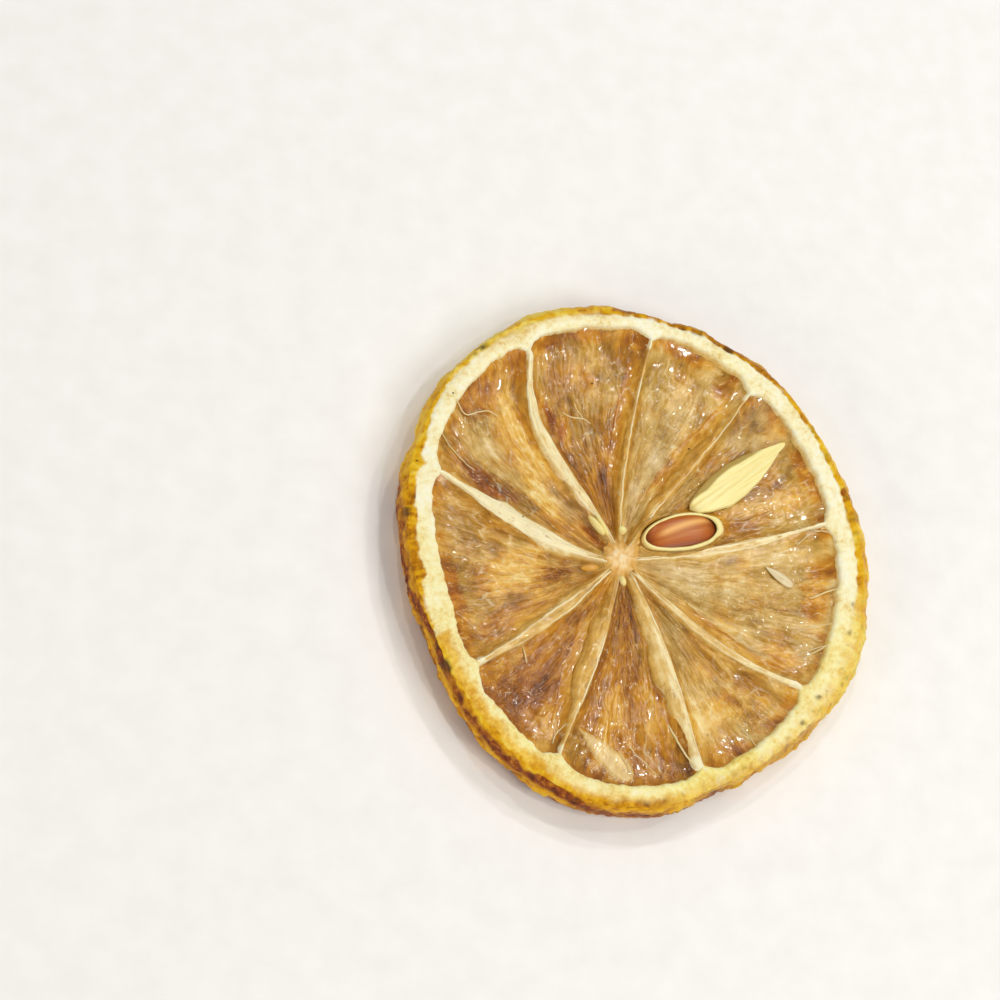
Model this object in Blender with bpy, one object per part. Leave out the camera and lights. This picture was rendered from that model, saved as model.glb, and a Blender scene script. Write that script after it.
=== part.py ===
"""A dried lemon slice, lying flat with its better cut face up.

The slice is one solid: the rind with its zest and pith, nine membranes, the sunken films of pulp
between them, the core, and the opened husk of a cut seed. A whole pale seed lies in a pocket of the
pulp, and the brown kernel lies in the opened husk. Each of those two is a solid of its own.

Lengths below are in millimetres and angles in degrees, counted anticlockwise from +X as seen from
above. Places are given from the middle of the core, and the finished slice is moved so that the
middle of its box lies over the origin, with its back on z = 0.
"""

import math

import bmesh
import bpy
import numpy as np
from mathutils import Matrix, Vector

MM = 0.001

# ---- Rind ----------------------------------------------------------------------------------------
THICKNESS = 4.3  # back to cut face at the pith ring
FACE_RADIUS = 23.16  # core to the outer edge of the cut face, on average
FACE_WAVES = ((1, 1.96, 30), (2, 0.93, 88), (3, 0.35, 15), (4, 0.14, -18), (5, 0.23, -26))
FACE_WARP = ((2, 0.14, 40), (3, 0.08, 80))  # rise of the dried rim above and below its mean
ZEST_BULGE = 0.8  # how far the zest stands out past the cut face
ZEST_LUMPS = ((1, 0.3, 12), (3, 0.08, 0), (8, 0.07, 11), (13, 0.09, 4), (21, 0.06, 7))
RIM_LUMPS = (  # where the rim has swollen or shrunk back: middle, half width, how far
    (-1, 29, 0.6),
    (18, 7, 0.35),
    (48, 8, 0.38),
    (69, 6, 0.55),
    (94, 21, 0.6),
    (136, 9, 0.3),
    (162, 12, 0.72),
    (180, 14, 0.25),
    (226, 24, 0.48),
    (297, 26, -0.35),
)
RIM_ON_FACE = 0.3  # how much of a rim lump the edge of the cut face follows
WALL_LEAN = 0.6  # how far the back has shrunk sideways from the face
WALL_LEAN_TOWARDS = 15
PITH_WIDTH = 1.75
PITH_WAVES = ((1, 0.22, -100), (2, 0.28, 2), (5, 0.18, -24))
PITH_LUMPS = ((183, 24, 0.35), (219, 12, -0.3))  # where the pith is wider or narrower
CORNER_FILLET = 1.0  # extra pith where a membrane runs into it
CORNER_REACH = 2.2
PITH_SLOPE = 0.35  # width of the steep inner side of the pith

# ---- Membranes: angle at the rind, angle at the core, sideways bow at mid length, width ----------
MEMBRANES = (
    (12.9, 4.0, 0.0, 1.0),
    (50.9, 57.0, -2.0, 1.1),
    (78.8, 91.0, 0.0, 1.0),
    (111.8, 112.0, 9.0, 1.2),
    (157.2, 186.0, -3.0, 1.5),
    (217.0, 226.0, 1.0, 1.4),
    (249.5, 261.0, 0.0, 1.4),
    (288.6, 305.0, 0.0, 1.5),
    (325.6, 314.0, -3.0, 1.2),
)
MEMBRANE_DROP = 0.5  # crest of a membrane below the cut face, at mid length
MEMBRANE_SIDE = 0.15  # its edges below its crest
FLANK = 0.5  # width of the slope from a membrane's edge down to the film
WIDEST_RIBBON = 0.2  # of a segment's angle, near the core
WIDEST_FLANK = 0.1

# ---- Pulp films ----------------------------------------------------------------------------------
FILM_TOP = 3.15
FILM_BACK = 1.25
FILM_SAG = 0.35  # a film hangs lower between its membranes
FILM_RIPPLE = 0.14
FILM_EDGE_RISE = 0.5  # where a film meets the pith
FILM_STEP = 3.9  # degrees between the columns of a film
FILM_SHARES = (0.93, 0.84, 0.74, 0.64, 0.54, 0.45, 0.36, 0.28, 0.2, 0.12)

# ---- Core ----------------------------------------------------------------------------------------
CORE_RADIUS = 1.5
CORE_TOP = 3.75
CORE_BACK = 0.55
CORE_BUTTON = ((0.08, -0.12), 1.0, 4.05)  # place, radius, top

# ---- Seeds ---------------------------------------------------------------------------------------
CLEARANCE = 0.3
PIP_BLUNT_END = (7.55, 5.6)
PIP_TIP = (17.65, 12.84)
PIP_WIDTH = 3.6
PIP_DEPTH = 2.1
PIP_MIDDLE_Z = 3.3
PIP_TIP_RISE = 0.45
PIP_RIDGE_SIDE = 0.3  # of the half width, towards the core's left
PIP_SIDES = 14
PIP_STATIONS = 16

KERNEL_MIDDLE = (6.3, 3.06)
KERNEL_AXIS = 13.0
KERNEL_LENGTH = 7.7
KERNEL_WIDTH = 3.1
KERNEL_DEPTH = 1.9
KERNEL_MIDDLE_Z = 2.95
KERNEL_SIDES = 14
KERNEL_STATIONS = 14

HUSK_GAP = 0.55  # kernel's side to the middle of the husk's rolled edge
HUSK_EDGE = 0.42  # radius of that edge
HUSK_Z = 3.45
HUSK_STEPS = 36
HUSK_SIDES = 8

# ---- Small relief fused to the pulp: from, to, width, top ----------------------------------------
BOSSES = (
    ((-2.95, 4.0), (-1.45, 2.4), 0.75, 4.0),  # an empty seed beside the core
    ((0.15, 2.45), (0.6, 3.1), 0.7, 4.05),
    ((-4.0, -1.05), (-2.25, -0.95), 0.7, 3.95),
    ((-0.5, -1.5), (0.35, -2.6), 0.65, 3.95),
    ((-4.9, -16.6), (0.9, -20.2), 3.0, 3.75),  # a seed wholly sunk in the pulp
    ((15.0, 0.3), (17.7, -1.45), 1.0, 3.7),  # a scrap of seed coat
)
BOSS_SIDES = 12
BOSS_STATIONS = 8
BOSS_FOOT = 2.4  # how deep a boss reaches into the pulp


# ==================================================================================================
# Outline
# ==================================================================================================
def waved(angle, mean, waves):
    """A length that swells and shrinks round the slice: lobes, height, angle of a crest."""
    total = mean
    for lobes, height, crest in waves:
        total = total + height * np.cos(np.radians(lobes * (angle - crest)))
    return total


def swollen(angle, lumps):
    """Flat topped lumps that run out smoothly on both sides."""
    total = 0.0
    for middle, half, height in lumps:
        away = np.abs((angle - middle + 180) % 360 - 180) / half
        total = total + height * (1 - np.clip(away, 0, 1) ** 4) ** 2
    return total


def face_radius(angle):
    return waved(angle, FACE_RADIUS, FACE_WAVES) + RIM_ON_FACE * swollen(angle, RIM_LUMPS)


def zest_bulge(angle):
    return waved(angle, ZEST_BULGE, ZEST_LUMPS) + (1 - RIM_ON_FACE) * swollen(angle, RIM_LUMPS)


def wall_lean(angle, height):
    """The wall's sideways shift at a height, nothing at the face and all of it at the back."""
    return WALL_LEAN * (1 - height / THICKNESS) * np.cos(np.radians(angle - WALL_LEAN_TOWARDS))


# ==================================================================================================
# Columns of the grid: they run from the rind to the core and follow the membranes
# ==================================================================================================
def membrane_angle(index, share):
    """Angle of a membrane's middle line, with share 1 at the rind and 0 at the core."""
    turns, row = divmod(index, len(MEMBRANES))
    at_rind, at_core, bow, _ = MEMBRANES[row]
    angle = at_core + (at_rind - at_core) * math.sqrt(share) + bow * math.sin(math.pi * share)
    return angle + 360 * turns


def film_columns(index):
    """How many columns a film has between its two flanks."""
    span = membrane_angle(index + 1, 1) - membrane_angle(index, 1)
    return max(5, round(span / FILM_STEP))


def segment_angles(index, share, radius):
    """Column angles from a membrane's middle line up to, but without, the next one's."""
    first = membrane_angle(index, share)
    last = membrane_angle(index + 1, share)
    span = last - first
    ends = []
    for row in (index, index + 1):
        width = MEMBRANES[row % len(MEMBRANES)][3]
        ribbon = min(math.degrees(width / 2 / radius), WIDEST_RIBBON * span)
        flank = min(math.degrees(FLANK / radius), WIDEST_FLANK * span)
        ends.append((ribbon, ribbon + flank))
    inner = np.linspace(first + ends[0][1], last - ends[1][1], film_columns(index))
    return [first, first + ends[0][0], *inner, last - ends[1][0]]


def segment_kinds(index):
    """What each column of a segment lies on, and how far across the film it is."""
    across = np.linspace(0, 1, film_columns(index))
    return [("crest", 0), ("side", 0), *(("film", value) for value in across), ("side", 1)]


def grid_angles(share, radius):
    return np.array([a for i in range(len(MEMBRANES)) for a in segment_angles(i, share, radius)])


COLUMN_KINDS = [kind for i in range(len(MEMBRANES)) for kind in segment_kinds(i)]


# ==================================================================================================
# Rings of the grid
# ==================================================================================================
def flesh_radius(angle):
    """Where the pith ends and the pulp starts, with round corners beside each membrane."""
    pith = waved(angle, PITH_WIDTH, PITH_WAVES) + swollen(angle, PITH_LUMPS)
    edge = waved(angle, FACE_RADIUS, FACE_WAVES) - pith
    middles = np.array([row[0] for row in MEMBRANES])
    away = np.abs((angle[:, None] - middles[None, :] + 180) % 360 - 180).min(axis=1)
    nearness = np.clip(1 - np.radians(away) * edge / CORNER_REACH, 0, 1)
    return edge - CORNER_FILLET * nearness**2


def film_height(angle, radius, across, share, front):
    """Height of the dried film, with the puckers its emptied juice sacs have left."""
    x = radius * np.cos(np.radians(angle))
    y = radius * np.sin(np.radians(angle))
    ripple = np.sin(1.9 * x + 0.8 * y) * np.cos(0.7 * x - 1.6 * y) + 0.6 * np.sin(2.7 * x - 2.3 * y)
    sag = FILM_SAG * np.sin(np.pi * across) - FILM_EDGE_RISE * share**10
    if front:
        return FILM_TOP - sag + FILM_RIPPLE * ripple
    return FILM_BACK + 0.6 * sag - FILM_RIPPLE * ripple


def membrane_height(share, front):
    """A membrane stands nearly flush with the pith at its rind end and sinks towards mid length."""
    drop = MEMBRANE_DROP * (1 - 0.55 * share**6)
    return THICKNESS - drop if front else drop


def pulp_ring(share, front):
    """One ring of points between the pith and the core."""
    rind_angles = grid_angles(1, FACE_RADIUS)
    edge = flesh_radius(rind_angles) - PITH_SLOPE
    radius = CORE_RADIUS + (edge - CORE_RADIUS) * share
    angle = grid_angles(share, float(radius.mean()))
    across = np.array([value for _, value in COLUMN_KINDS])
    film = film_height(angle, radius, across, share, front)
    crest = membrane_height(share, front)
    side = crest - MEMBRANE_SIDE if front else crest + MEMBRANE_SIDE
    height = np.empty_like(angle)
    for column, (kind, _) in enumerate(COLUMN_KINDS):
        height[column] = {"crest": crest, "side": side, "film": film[column]}[kind]
    return angle, radius, height


def rind_rings():
    """The rind's rings from the back's outer edge up the wall and over the face to the pulp."""
    angle = grid_angles(1, FACE_RADIUS)
    face = face_radius(angle)
    flesh = flesh_radius(angle)
    bulge = zest_bulge(angle)
    top = waved(angle, THICKNESS, FACE_WARP)
    rings = []
    for level, out in ((0.0, 0.0), (0.12, 0.55), (0.34, 0.95), (0.6, 1.0), (0.86, 0.66), (1.0, 0.0)):
        height = level * top
        rings.append((angle, face + wall_lean(angle, height) + out * bulge, height))
    rings.append((angle, face + 0.4 * (flesh - face), top + 0.04))
    rings.append((angle, flesh, top - 0.22))
    return rings


def slice_rings():
    """Every ring of the slice, from the core of the back, round the wall, to the core of the face."""
    angle = grid_angles(1, FACE_RADIUS)
    core_angle = grid_angles(0.02, CORE_RADIUS)
    core = np.full_like(angle, CORE_RADIUS)
    rings = [(core_angle, core, np.full_like(angle, CORE_BACK))]
    rings += [pulp_ring(share, front=False) for share in reversed(FILM_SHARES)]
    rings.append(pulp_ring(1.0, front=False))
    rings.append((angle, flesh_radius(angle), np.zeros_like(angle)))
    rings += rind_rings()
    rings.append(pulp_ring(1.0, front=True))
    rings += [pulp_ring(share, front=True) for share in FILM_SHARES]
    rings.append((core_angle, core, np.full_like(angle, CORE_TOP)))
    return rings


# ==================================================================================================
# Meshes
# ==================================================================================================
def mesh_object(name, vertices, faces):
    mesh = bpy.data.meshes.new(name)
    mesh.from_pydata([tuple(float(c) * MM for c in v) for v in vertices], [], faces)
    body = bmesh.new()
    body.from_mesh(mesh)
    bmesh.ops.triangulate(body, faces=body.faces)
    bmesh.ops.recalc_face_normals(body, faces=body.faces)
    body.to_mesh(mesh)
    body.free()
    obj = bpy.data.objects.new(name, mesh)
    bpy.context.collection.objects.link(obj)
    return obj


def strip_faces(rings, columns):
    """Quads between neighbouring closed rings of points."""
    faces = []
    for ring in range(rings - 1):
        for column in range(columns):
            after = (column + 1) % columns
            low, high = ring * columns, (ring + 1) * columns
            faces.append((low + column, low + after, high + after, high + column))
    return faces


def slice_body():
    rings = slice_rings()
    columns = len(COLUMN_KINDS)
    vertices = []
    for angle, radius, height in rings:
        turn = np.radians(angle)
        vertices += list(zip(radius * np.cos(turn), radius * np.sin(turn), height))
    faces = strip_faces(len(rings), columns)
    for first, height, flip in ((0, CORE_BACK, True), ((len(rings) - 1) * columns, CORE_TOP, False)):
        middle = len(vertices)
        vertices.append((0, 0, height))
        for column in range(columns):
            pair = (first + column, first + (column + 1) % columns)
            faces.append((middle, *(reversed(pair) if flip else pair)))
    return mesh_object("lemon_slice", vertices, faces)


def lofted(name, sections):
    """A closed body through a list of closed sections, with a point at either end."""
    sides = len(sections[0])
    vertices = [point for section in sections for point in section]
    faces = strip_faces(len(sections), sides)
    for section, first in ((sections[0], 0), (sections[-1], (len(sections) - 1) * sides)):
        middle = len(vertices)
        vertices.append(tuple(np.mean(section, axis=0)))
        for side in range(sides):
            faces.append((middle, first + side, first + (side + 1) % sides))
    return mesh_object(name, vertices, faces)


def seed_width(share):
    """A citrus seed's half width: a round blunt end, a full belly and a drawn-out tip."""
    return 2.435 * share**0.5 * (1 - share) ** 0.85


def pale_pip(name, grow=0.0):
    """The whole seed, with a ridge along its upper side. It grows by a clearance as a cutter."""
    start, end = Vector(PIP_BLUNT_END), Vector(PIP_TIP)
    along = (end - start).normalized()
    left = Vector((-along.y, along.x))
    length = (end - start).length
    sections = []
    for station in range(PIP_STATIONS):
        share = 0.004 + 0.99 * (1 - math.cos(math.pi * station / (PIP_STATIONS - 1))) / 2
        half = PIP_WIDTH / 2 * seed_width(share) + grow
        deep = PIP_DEPTH / 2 * seed_width(share) ** 0.8 + grow
        middle = PIP_MIDDLE_Z + PIP_TIP_RISE * (share - 0.4)
        reach = length * share + grow * math.copysign(1, share - 0.5) * abs(2 * share - 1) ** 8
        section = []
        for side in range(PIP_SIDES):
            turn = 2 * math.pi * side / PIP_SIDES
            across = math.cos(turn)
            up = math.sin(turn)
            if up > 0:
                ridge = 1 - abs(across - PIP_RIDGE_SIDE) / (1 + PIP_RIDGE_SIDE)
                up = 0.55 * up + 0.45 * max(0.0, ridge) * up
            place = start + along * reach + left * half * across
            section.append((place.x, place.y, middle + deep * up))
        sections.append(section)
    return lofted(name, sections)


def kernel_outline(turn, grow):
    """A point on the kernel's outline, almond shaped, as seen from above."""
    along = (KERNEL_LENGTH / 2 + grow) * math.cos(turn)
    across = (KERNEL_WIDTH / 2 + grow) * math.sin(turn) * (1 + 0.1 * math.cos(turn))
    return along, across


def at_kernel(along, across):
    turn = math.radians(KERNEL_AXIS)
    x = KERNEL_MIDDLE[0] + along * math.cos(turn) - across * math.sin(turn)
    y = KERNEL_MIDDLE[1] + along * math.sin(turn) + across * math.cos(turn)
    return x, y


def brown_kernel(name, grow=0.0):
    sections = []
    for station in range(KERNEL_STATIONS):
        turn = math.pi * (1 - (station + 0.35) / (KERNEL_STATIONS - 0.3))
        along, half = kernel_outline(turn, grow)
        deep = (KERNEL_DEPTH / 2 + grow) * math.sin(turn) ** 0.85
        section = []
        for side in range(KERNEL_SIDES):
            around = 2 * math.pi * side / KERNEL_SIDES
            x, y = at_kernel(along, half * math.cos(around))
            section.append((x, y, KERNEL_MIDDLE_Z + deep * math.sin(around)))
        sections.append(section)
    return lofted(name, sections)


def husk_edge():
    """The rolled edge of the opened seed coat, a closed ring round the kernel."""
    vertices = []
    for step in range(HUSK_STEPS):
        turn = 2 * math.pi * step / HUSK_STEPS
        for side in range(HUSK_SIDES):
            around = 2 * math.pi * side / HUSK_SIDES
            thick = HUSK_EDGE * (1.15 if math.cos(turn) > 0.6 else 1.0)
            x, y = at_kernel(*kernel_outline(turn, HUSK_GAP + thick * math.cos(around)))
            vertices.append((x, y, HUSK_Z + 1.3 * thick * math.sin(around)))
    faces = strip_faces(HUSK_STEPS, HUSK_SIDES)
    last = (HUSK_STEPS - 1) * HUSK_SIDES
    for side in range(HUSK_SIDES):
        after = (side + 1) % HUSK_SIDES
        faces.append((last + side, last + after, after, side))
    return mesh_object("husk_edge", vertices, faces)


def boss(number, start, end, width, top):
    """A rounded ridge that rises out of the pulp and is sunk well into it."""
    start, end = Vector(start), Vector(end)
    along = (end - start).normalized()
    left = Vector((-along.y, along.x))
    sections = []
    for station in range(BOSS_STATIONS):
        turn = math.pi * (station + 0.5) / BOSS_STATIONS
        share = (1 - math.cos(turn)) / 2
        middle = start.lerp(end, share)
        section = []
        for side in range(BOSS_SIDES):
            around = 2 * math.pi * side / BOSS_SIDES
            place = middle + left * width / 2 * math.sin(turn) * math.cos(around)
            rise = (top - BOSS_FOOT) * math.sin(turn) * math.sin(around)
            section.append((place.x, place.y, BOSS_FOOT + rise * (1 if rise > 0 else 0.4)))
        sections.append(section)
    return lofted(f"boss_{number}", sections)


def core_button():
    (x, y), radius, top = CORE_BUTTON
    sections = []
    for height, share in ((2.4, 1.0), (top - 0.25, 1.0), (top - 0.08, 0.8), (top, 0.45)):
        section = []
        for side in range(BOSS_SIDES):
            turn = 2 * math.pi * side / BOSS_SIDES
            section.append((x + radius * share * math.cos(turn), y + radius * share * math.sin(turn), height))
        sections.append(section)
    return lofted("core_button", sections)


# ==================================================================================================
# Joining and placing
# ==================================================================================================
def apply_boolean(target, operation, others):
    """Joins or cuts a group of bodies at once, then removes them."""
    group = bpy.data.collections.new("group")
    for other in others:
        group.objects.link(other)
    modifier = target.modifiers.new(operation.title(), "BOOLEAN")
    modifier.operation = operation
    modifier.operand_type = "COLLECTION"
    modifier.collection = group
    modifier.solver = "EXACT"
    graph = bpy.context.evaluated_depsgraph_get()
    result = bpy.data.meshes.new_from_object(target.evaluated_get(graph))
    target.modifiers.clear()
    target.data = result
    result.name = target.name
    for other in others:
        bpy.data.objects.remove(other)
    bpy.data.collections.remove(group)


def move_to_origin(slice_obj, others):
    """Puts the middle of the slice's box over the origin and its back on z = 0."""
    points = np.array([v.co for v in slice_obj.data.vertices])
    low, high = points.min(axis=0), points.max(axis=0)
    shift = Matrix.Translation(Vector((-(low[0] + high[0]) / 2, -(low[1] + high[1]) / 2, -low[2])))
    for obj in (slice_obj, *others):
        obj.data.transform(shift)


def material(name, colour, roughness):
    """A plain Principled material. The colour is linear red, green and blue."""
    finish = bpy.data.materials.new(name)
    finish.use_nodes = True
    shader = finish.node_tree.nodes["Principled BSDF"]
    shader.inputs["Base Color"].default_value = (*colour, 1)
    shader.inputs["Roughness"].default_value = roughness
    shader.inputs["Metallic"].default_value = 0
    return finish


def finish(obj, made_of, smooth_under=math.radians(50)):
    obj.data.materials.clear()
    obj.data.materials.append(made_of)
    obj.data.shade_smooth()
    obj.data.set_sharp_from_angle(angle=smooth_under)


def main():
    for obj in list(bpy.data.objects):
        bpy.data.objects.remove(obj)

    lemon = slice_body()
    raised = [husk_edge(), core_button()]
    raised += [boss(number, *row) for number, row in enumerate(BOSSES)]
    apply_boolean(lemon, "UNION", raised)
    apply_boolean(lemon, "DIFFERENCE", [pale_pip("pip_pocket", CLEARANCE), brown_kernel("kernel_pocket", CLEARANCE)])
    pip = pale_pip("pale_pip")
    kernel = brown_kernel("brown_kernel")
    move_to_origin(lemon, (pip, kernel))

    finish(lemon, material("dried_lemon", (0.55, 0.30, 0.10), 0.5))
    finish(pip, material("pale_seed_coat", (0.80, 0.67, 0.30), 0.45))
    finish(kernel, material("brown_seed_skin", (0.40, 0.10, 0.025), 0.35))


main()
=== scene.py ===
"""The looks of a dried lemon slice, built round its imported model.

Lengths are in millimetres and angles in degrees, anticlockwise from +X as seen from above, until a
mesh is made. Places are given from the middle of the core, with heights from the slice's back.
Membranes are counted anticlockwise from the one that runs to the right, and so are the pulp films,
each of which lies between the membrane of its own number and the next.
"""

import math

import bpy
import numpy as np
from mathutils import Matrix, Vector


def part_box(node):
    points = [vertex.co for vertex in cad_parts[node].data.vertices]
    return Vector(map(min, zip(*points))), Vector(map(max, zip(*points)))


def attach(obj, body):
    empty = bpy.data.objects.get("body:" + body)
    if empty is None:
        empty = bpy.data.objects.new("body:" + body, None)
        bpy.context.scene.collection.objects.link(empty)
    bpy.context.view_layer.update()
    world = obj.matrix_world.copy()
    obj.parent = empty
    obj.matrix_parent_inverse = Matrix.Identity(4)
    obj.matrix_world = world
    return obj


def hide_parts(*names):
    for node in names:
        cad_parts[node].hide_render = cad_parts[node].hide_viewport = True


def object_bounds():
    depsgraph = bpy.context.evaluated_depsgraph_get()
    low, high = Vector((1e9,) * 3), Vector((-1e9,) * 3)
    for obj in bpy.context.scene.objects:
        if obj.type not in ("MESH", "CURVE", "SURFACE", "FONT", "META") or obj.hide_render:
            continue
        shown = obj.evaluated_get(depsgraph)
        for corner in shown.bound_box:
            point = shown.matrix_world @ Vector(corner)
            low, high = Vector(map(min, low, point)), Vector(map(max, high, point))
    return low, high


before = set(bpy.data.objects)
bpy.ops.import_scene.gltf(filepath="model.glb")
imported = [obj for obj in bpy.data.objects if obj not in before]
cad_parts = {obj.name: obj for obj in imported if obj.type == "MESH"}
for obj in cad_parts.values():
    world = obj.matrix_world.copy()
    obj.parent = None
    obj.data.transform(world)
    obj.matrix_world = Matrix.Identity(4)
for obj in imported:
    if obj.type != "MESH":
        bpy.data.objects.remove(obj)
CAD_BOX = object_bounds()

MM = 0.001

# ---- The slice's own measures, as in its solids ---------------------------------------------------
THICKNESS = 4.3
FACE_RADIUS = 23.16
FACE_WAVES = ((1, 1.96, 30), (2, 0.93, 88), (3, 0.35, 15), (4, 0.14, -18), (5, 0.23, -26))
FACE_WARP = ((2, 0.14, 40), (3, 0.08, 80))
ZEST_BULGE = 0.8
ZEST_LUMPS = ((1, 0.3, 12), (3, 0.08, 0), (8, 0.07, 11), (13, 0.09, 4), (21, 0.06, 7))
RIM_LUMPS = (  # middle, half width, how far the rim has swollen or shrunk back
    (-1, 29, 0.6),
    (18, 7, 0.35),
    (48, 8, 0.38),
    (69, 6, 0.55),
    (94, 21, 0.6),
    (136, 9, 0.3),
    (162, 12, 0.72),
    (180, 14, 0.25),
    (226, 24, 0.48),
    (297, 26, -0.35),
)
RIM_ON_FACE = 0.3
WALL_LEAN = 0.6
WALL_LEAN_TOWARDS = 15
PITH_WIDTH = 1.75
PITH_WAVES = ((1, 0.22, -100), (2, 0.28, 2), (5, 0.18, -24))
PITH_LUMPS = ((183, 24, 0.35), (219, 12, -0.3))
CORNER_FILLET = 1.0
CORNER_REACH = 2.2
PITH_SLOPE = 0.35
MEMBRANES = (  # angle at the rind, angle at the core, sideways bow at mid length
    (12.9, 4.0, 0.0),
    (50.9, 57.0, -2.0),
    (78.8, 91.0, 0.0),
    (111.8, 112.0, 9.0),
    (157.2, 186.0, -3.0),
    (217.0, 226.0, 1.0),
    (249.5, 261.0, 0.0),
    (288.6, 305.0, 0.0),
    (325.6, 314.0, -3.0),
)
MEMBRANE_DROP = 0.5
FILM_TOP = 3.15
FILM_BACK = 1.25
FILM_SAG = 0.35
FILM_EDGE_RISE = 0.5
CORE_RADIUS = 1.5
PIP_BLUNT_END = (7.55, 5.6)
PIP_TIP = (17.9, 13.02)
PIP_MIDDLE_Z = 3.3
PIP_TIP_RISE = 0.45
KERNEL_MIDDLE = (6.3, 3.06)
KERNEL_AXIS = 13.0
KERNEL_LENGTH = 7.7
KERNEL_WIDTH = 3.1
KERNEL_DEPTH = 1.9
KERNEL_MIDDLE_Z = 2.95

# ---- How each membrane looks ----------------------------------------------------------------------
# The ribbon's width clockwise and anticlockwise of its line at mid length, the places of its bright
# cut edges, how light and how warm it is, how far its ends taper, and the width and strength of the
# amber fold of film clockwise and anticlockwise beyond it, whose colour is partly painted shade.
RIBBONS = (
    ((0.7, 0.2), (-0.5, 0.06), 0.86, 0.3, 0.75, (0.3, 0.1), (0.4, 0.1)),
    ((0.15, 0.85), (0.02,), 0.62, 0.75, 0.7, (0.3, 0.1), (1.25, 1.0)),
    ((0.15, 0.3), (0.02,), 0.66, 0.7, 0.5, (0.4, 0.3), (1.25, 1.0)),
    ((0.55, 0.65), (-0.45, 0.1, 0.52), 0.92, 0.4, 0.6, (0.5, 0.2), (0.9, 0.6)),
    ((1.05, 0.95), (-0.7, -0.1, 0.65), 1.18, 0.2, 0.8, (0.6, 0.1), (0.5, 0.2)),
    ((0.95, 0.5), (-0.45, 0.42), 0.74, 0.5, 0.6, (0.9, 0.6), (0.4, 0.1)),
    ((1.25, 0.3), (0.2,), 0.68, 0.6, 0.85, (1.3, 1.0), (0.3, 0.1)),
    ((1.4, 0.2), (0.1,), 0.88, 0.35, 0.45, (0.5, 0.3), (0.4, 0.2)),
    ((0.35, 0.4), (-0.28, 0.26), 0.84, 0.45, 0.35, (0.3, 0.1), (1.3, 0.9)),
)

# ---- How each pulp film looks: how light it is, and how amber -------------------------------------
FILM_TONES = (
    (0.49, 0.42),
    (0.55, 0.10),
    (0.42, 0.60),
    (0.51, 0.42),
    (0.50, 0.60),
    (0.42, 1.05),
    (0.38, 0.90),
    (0.51, 0.38),
    (0.58, 0.10),
)

# ---- Fineness of the meshes -----------------------------------------------------------------------
RIND_COLUMNS = 1000
FILM_COLUMN = 0.14  # at the rind
FILM_ROW = 0.17
MEMBRANE_ROW = 0.16

# ---- Camera: the photograph's view ----------------------------------------------------------------
LENS = 90.0
SENSOR = 36.0
CAMERA_DISTANCE = 233.0
VIEW_TILT = 28.0  # between the line of sight and the slice's axis
VIEW_SIDE = 222.0  # the side of the rind that turns towards the camera
CORE_PIXEL = (623.0, 557.0)
PHOTO_SIDE = 1000.0

# ---- Studio, in metres and watts ------------------------------------------------------------------
SOFT_LAMPS = (  # way from the slice along the camera's right, up and back, distance, size, power, colour
    ("key", (0.8, -0.25, 0.75), 0.6, 0.25, 1.1, "#FFFCF4"),
    ("front", (-0.7, -0.5, 0.7), 0.6, 0.3, 1.2, "#FFFBF0"),
)
SHEEN_PLACE = (12.0, 8.0, 0.0)  # where the level film is brightest
GLINT_LAMPS = 4
ROOM_LIGHT = 0.36
TABLE_HALF = 3.0


# ==================================================================================================
# Noise: repeatable, and the same for every piece that shares a place
# ==================================================================================================
def lattice(ix, iy, iz, seed):
    """A number from 0 to 1 for each point of a whole-number lattice."""
    mixed = (ix * 73856093) ^ (iy * 19349663) ^ (iz * 83492791) ^ (seed * 40503)
    mixed = (mixed ^ (mixed >> 13)) * 1274126177
    mixed = (mixed ^ (mixed >> 16)) * 668265263
    return ((mixed >> 8) & 0xFFFFFF) / float(0xFFFFFF)


def noise(x, y, z=0.0, seed=1):
    """Smooth noise from -1 to 1 with features one unit wide."""
    x, y, z = np.broadcast_arrays(np.asarray(x, float), np.asarray(y, float), np.asarray(z, float))
    ix, iy, iz = (np.floor(v).astype(np.int64) for v in (x, y, z))
    fx, fy, fz = (v - np.floor(v) for v in (x, y, z))
    fx, fy, fz = (f * f * f * (f * (f * 6 - 15) + 10) for f in (fx, fy, fz))
    total = 0.0
    for dx, wx in ((0, 1 - fx), (1, fx)):
        for dy, wy in ((0, 1 - fy), (1, fy)):
            for dz, wz in ((0, 1 - fz), (1, fz)):
                total = total + wx * wy * wz * lattice(ix + dx, iy + dy, iz + dz, seed)
    return total * 2 - 1


def rough(x, y, z=0.0, seed=1, layers=3):
    """Noise with finer noise laid on it."""
    total, weight = 0.0, 0.0
    for layer in range(layers):
        scale, share = 2.03**layer, 0.5**layer
        total = total + share * noise(x * scale + 9.1 * layer, y * scale, z * scale, seed + layer)
        weight += share
    return total / weight


def creased(x, y, z=0.0, seed=1, layers=2):
    """Noise folded into sharp crests, 1 on a crest and 0 far from one."""
    total, weight = 0.0, 0.0
    for layer in range(layers):
        scale, share = 2.1**layer, 0.5**layer
        crest = 1 - np.abs(noise(x * scale, y * scale, z * scale, seed + layer)) * 2.2
        total = total + share * np.clip(crest, 0, 1) ** 1.5
        weight += share
    return total / weight


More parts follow.
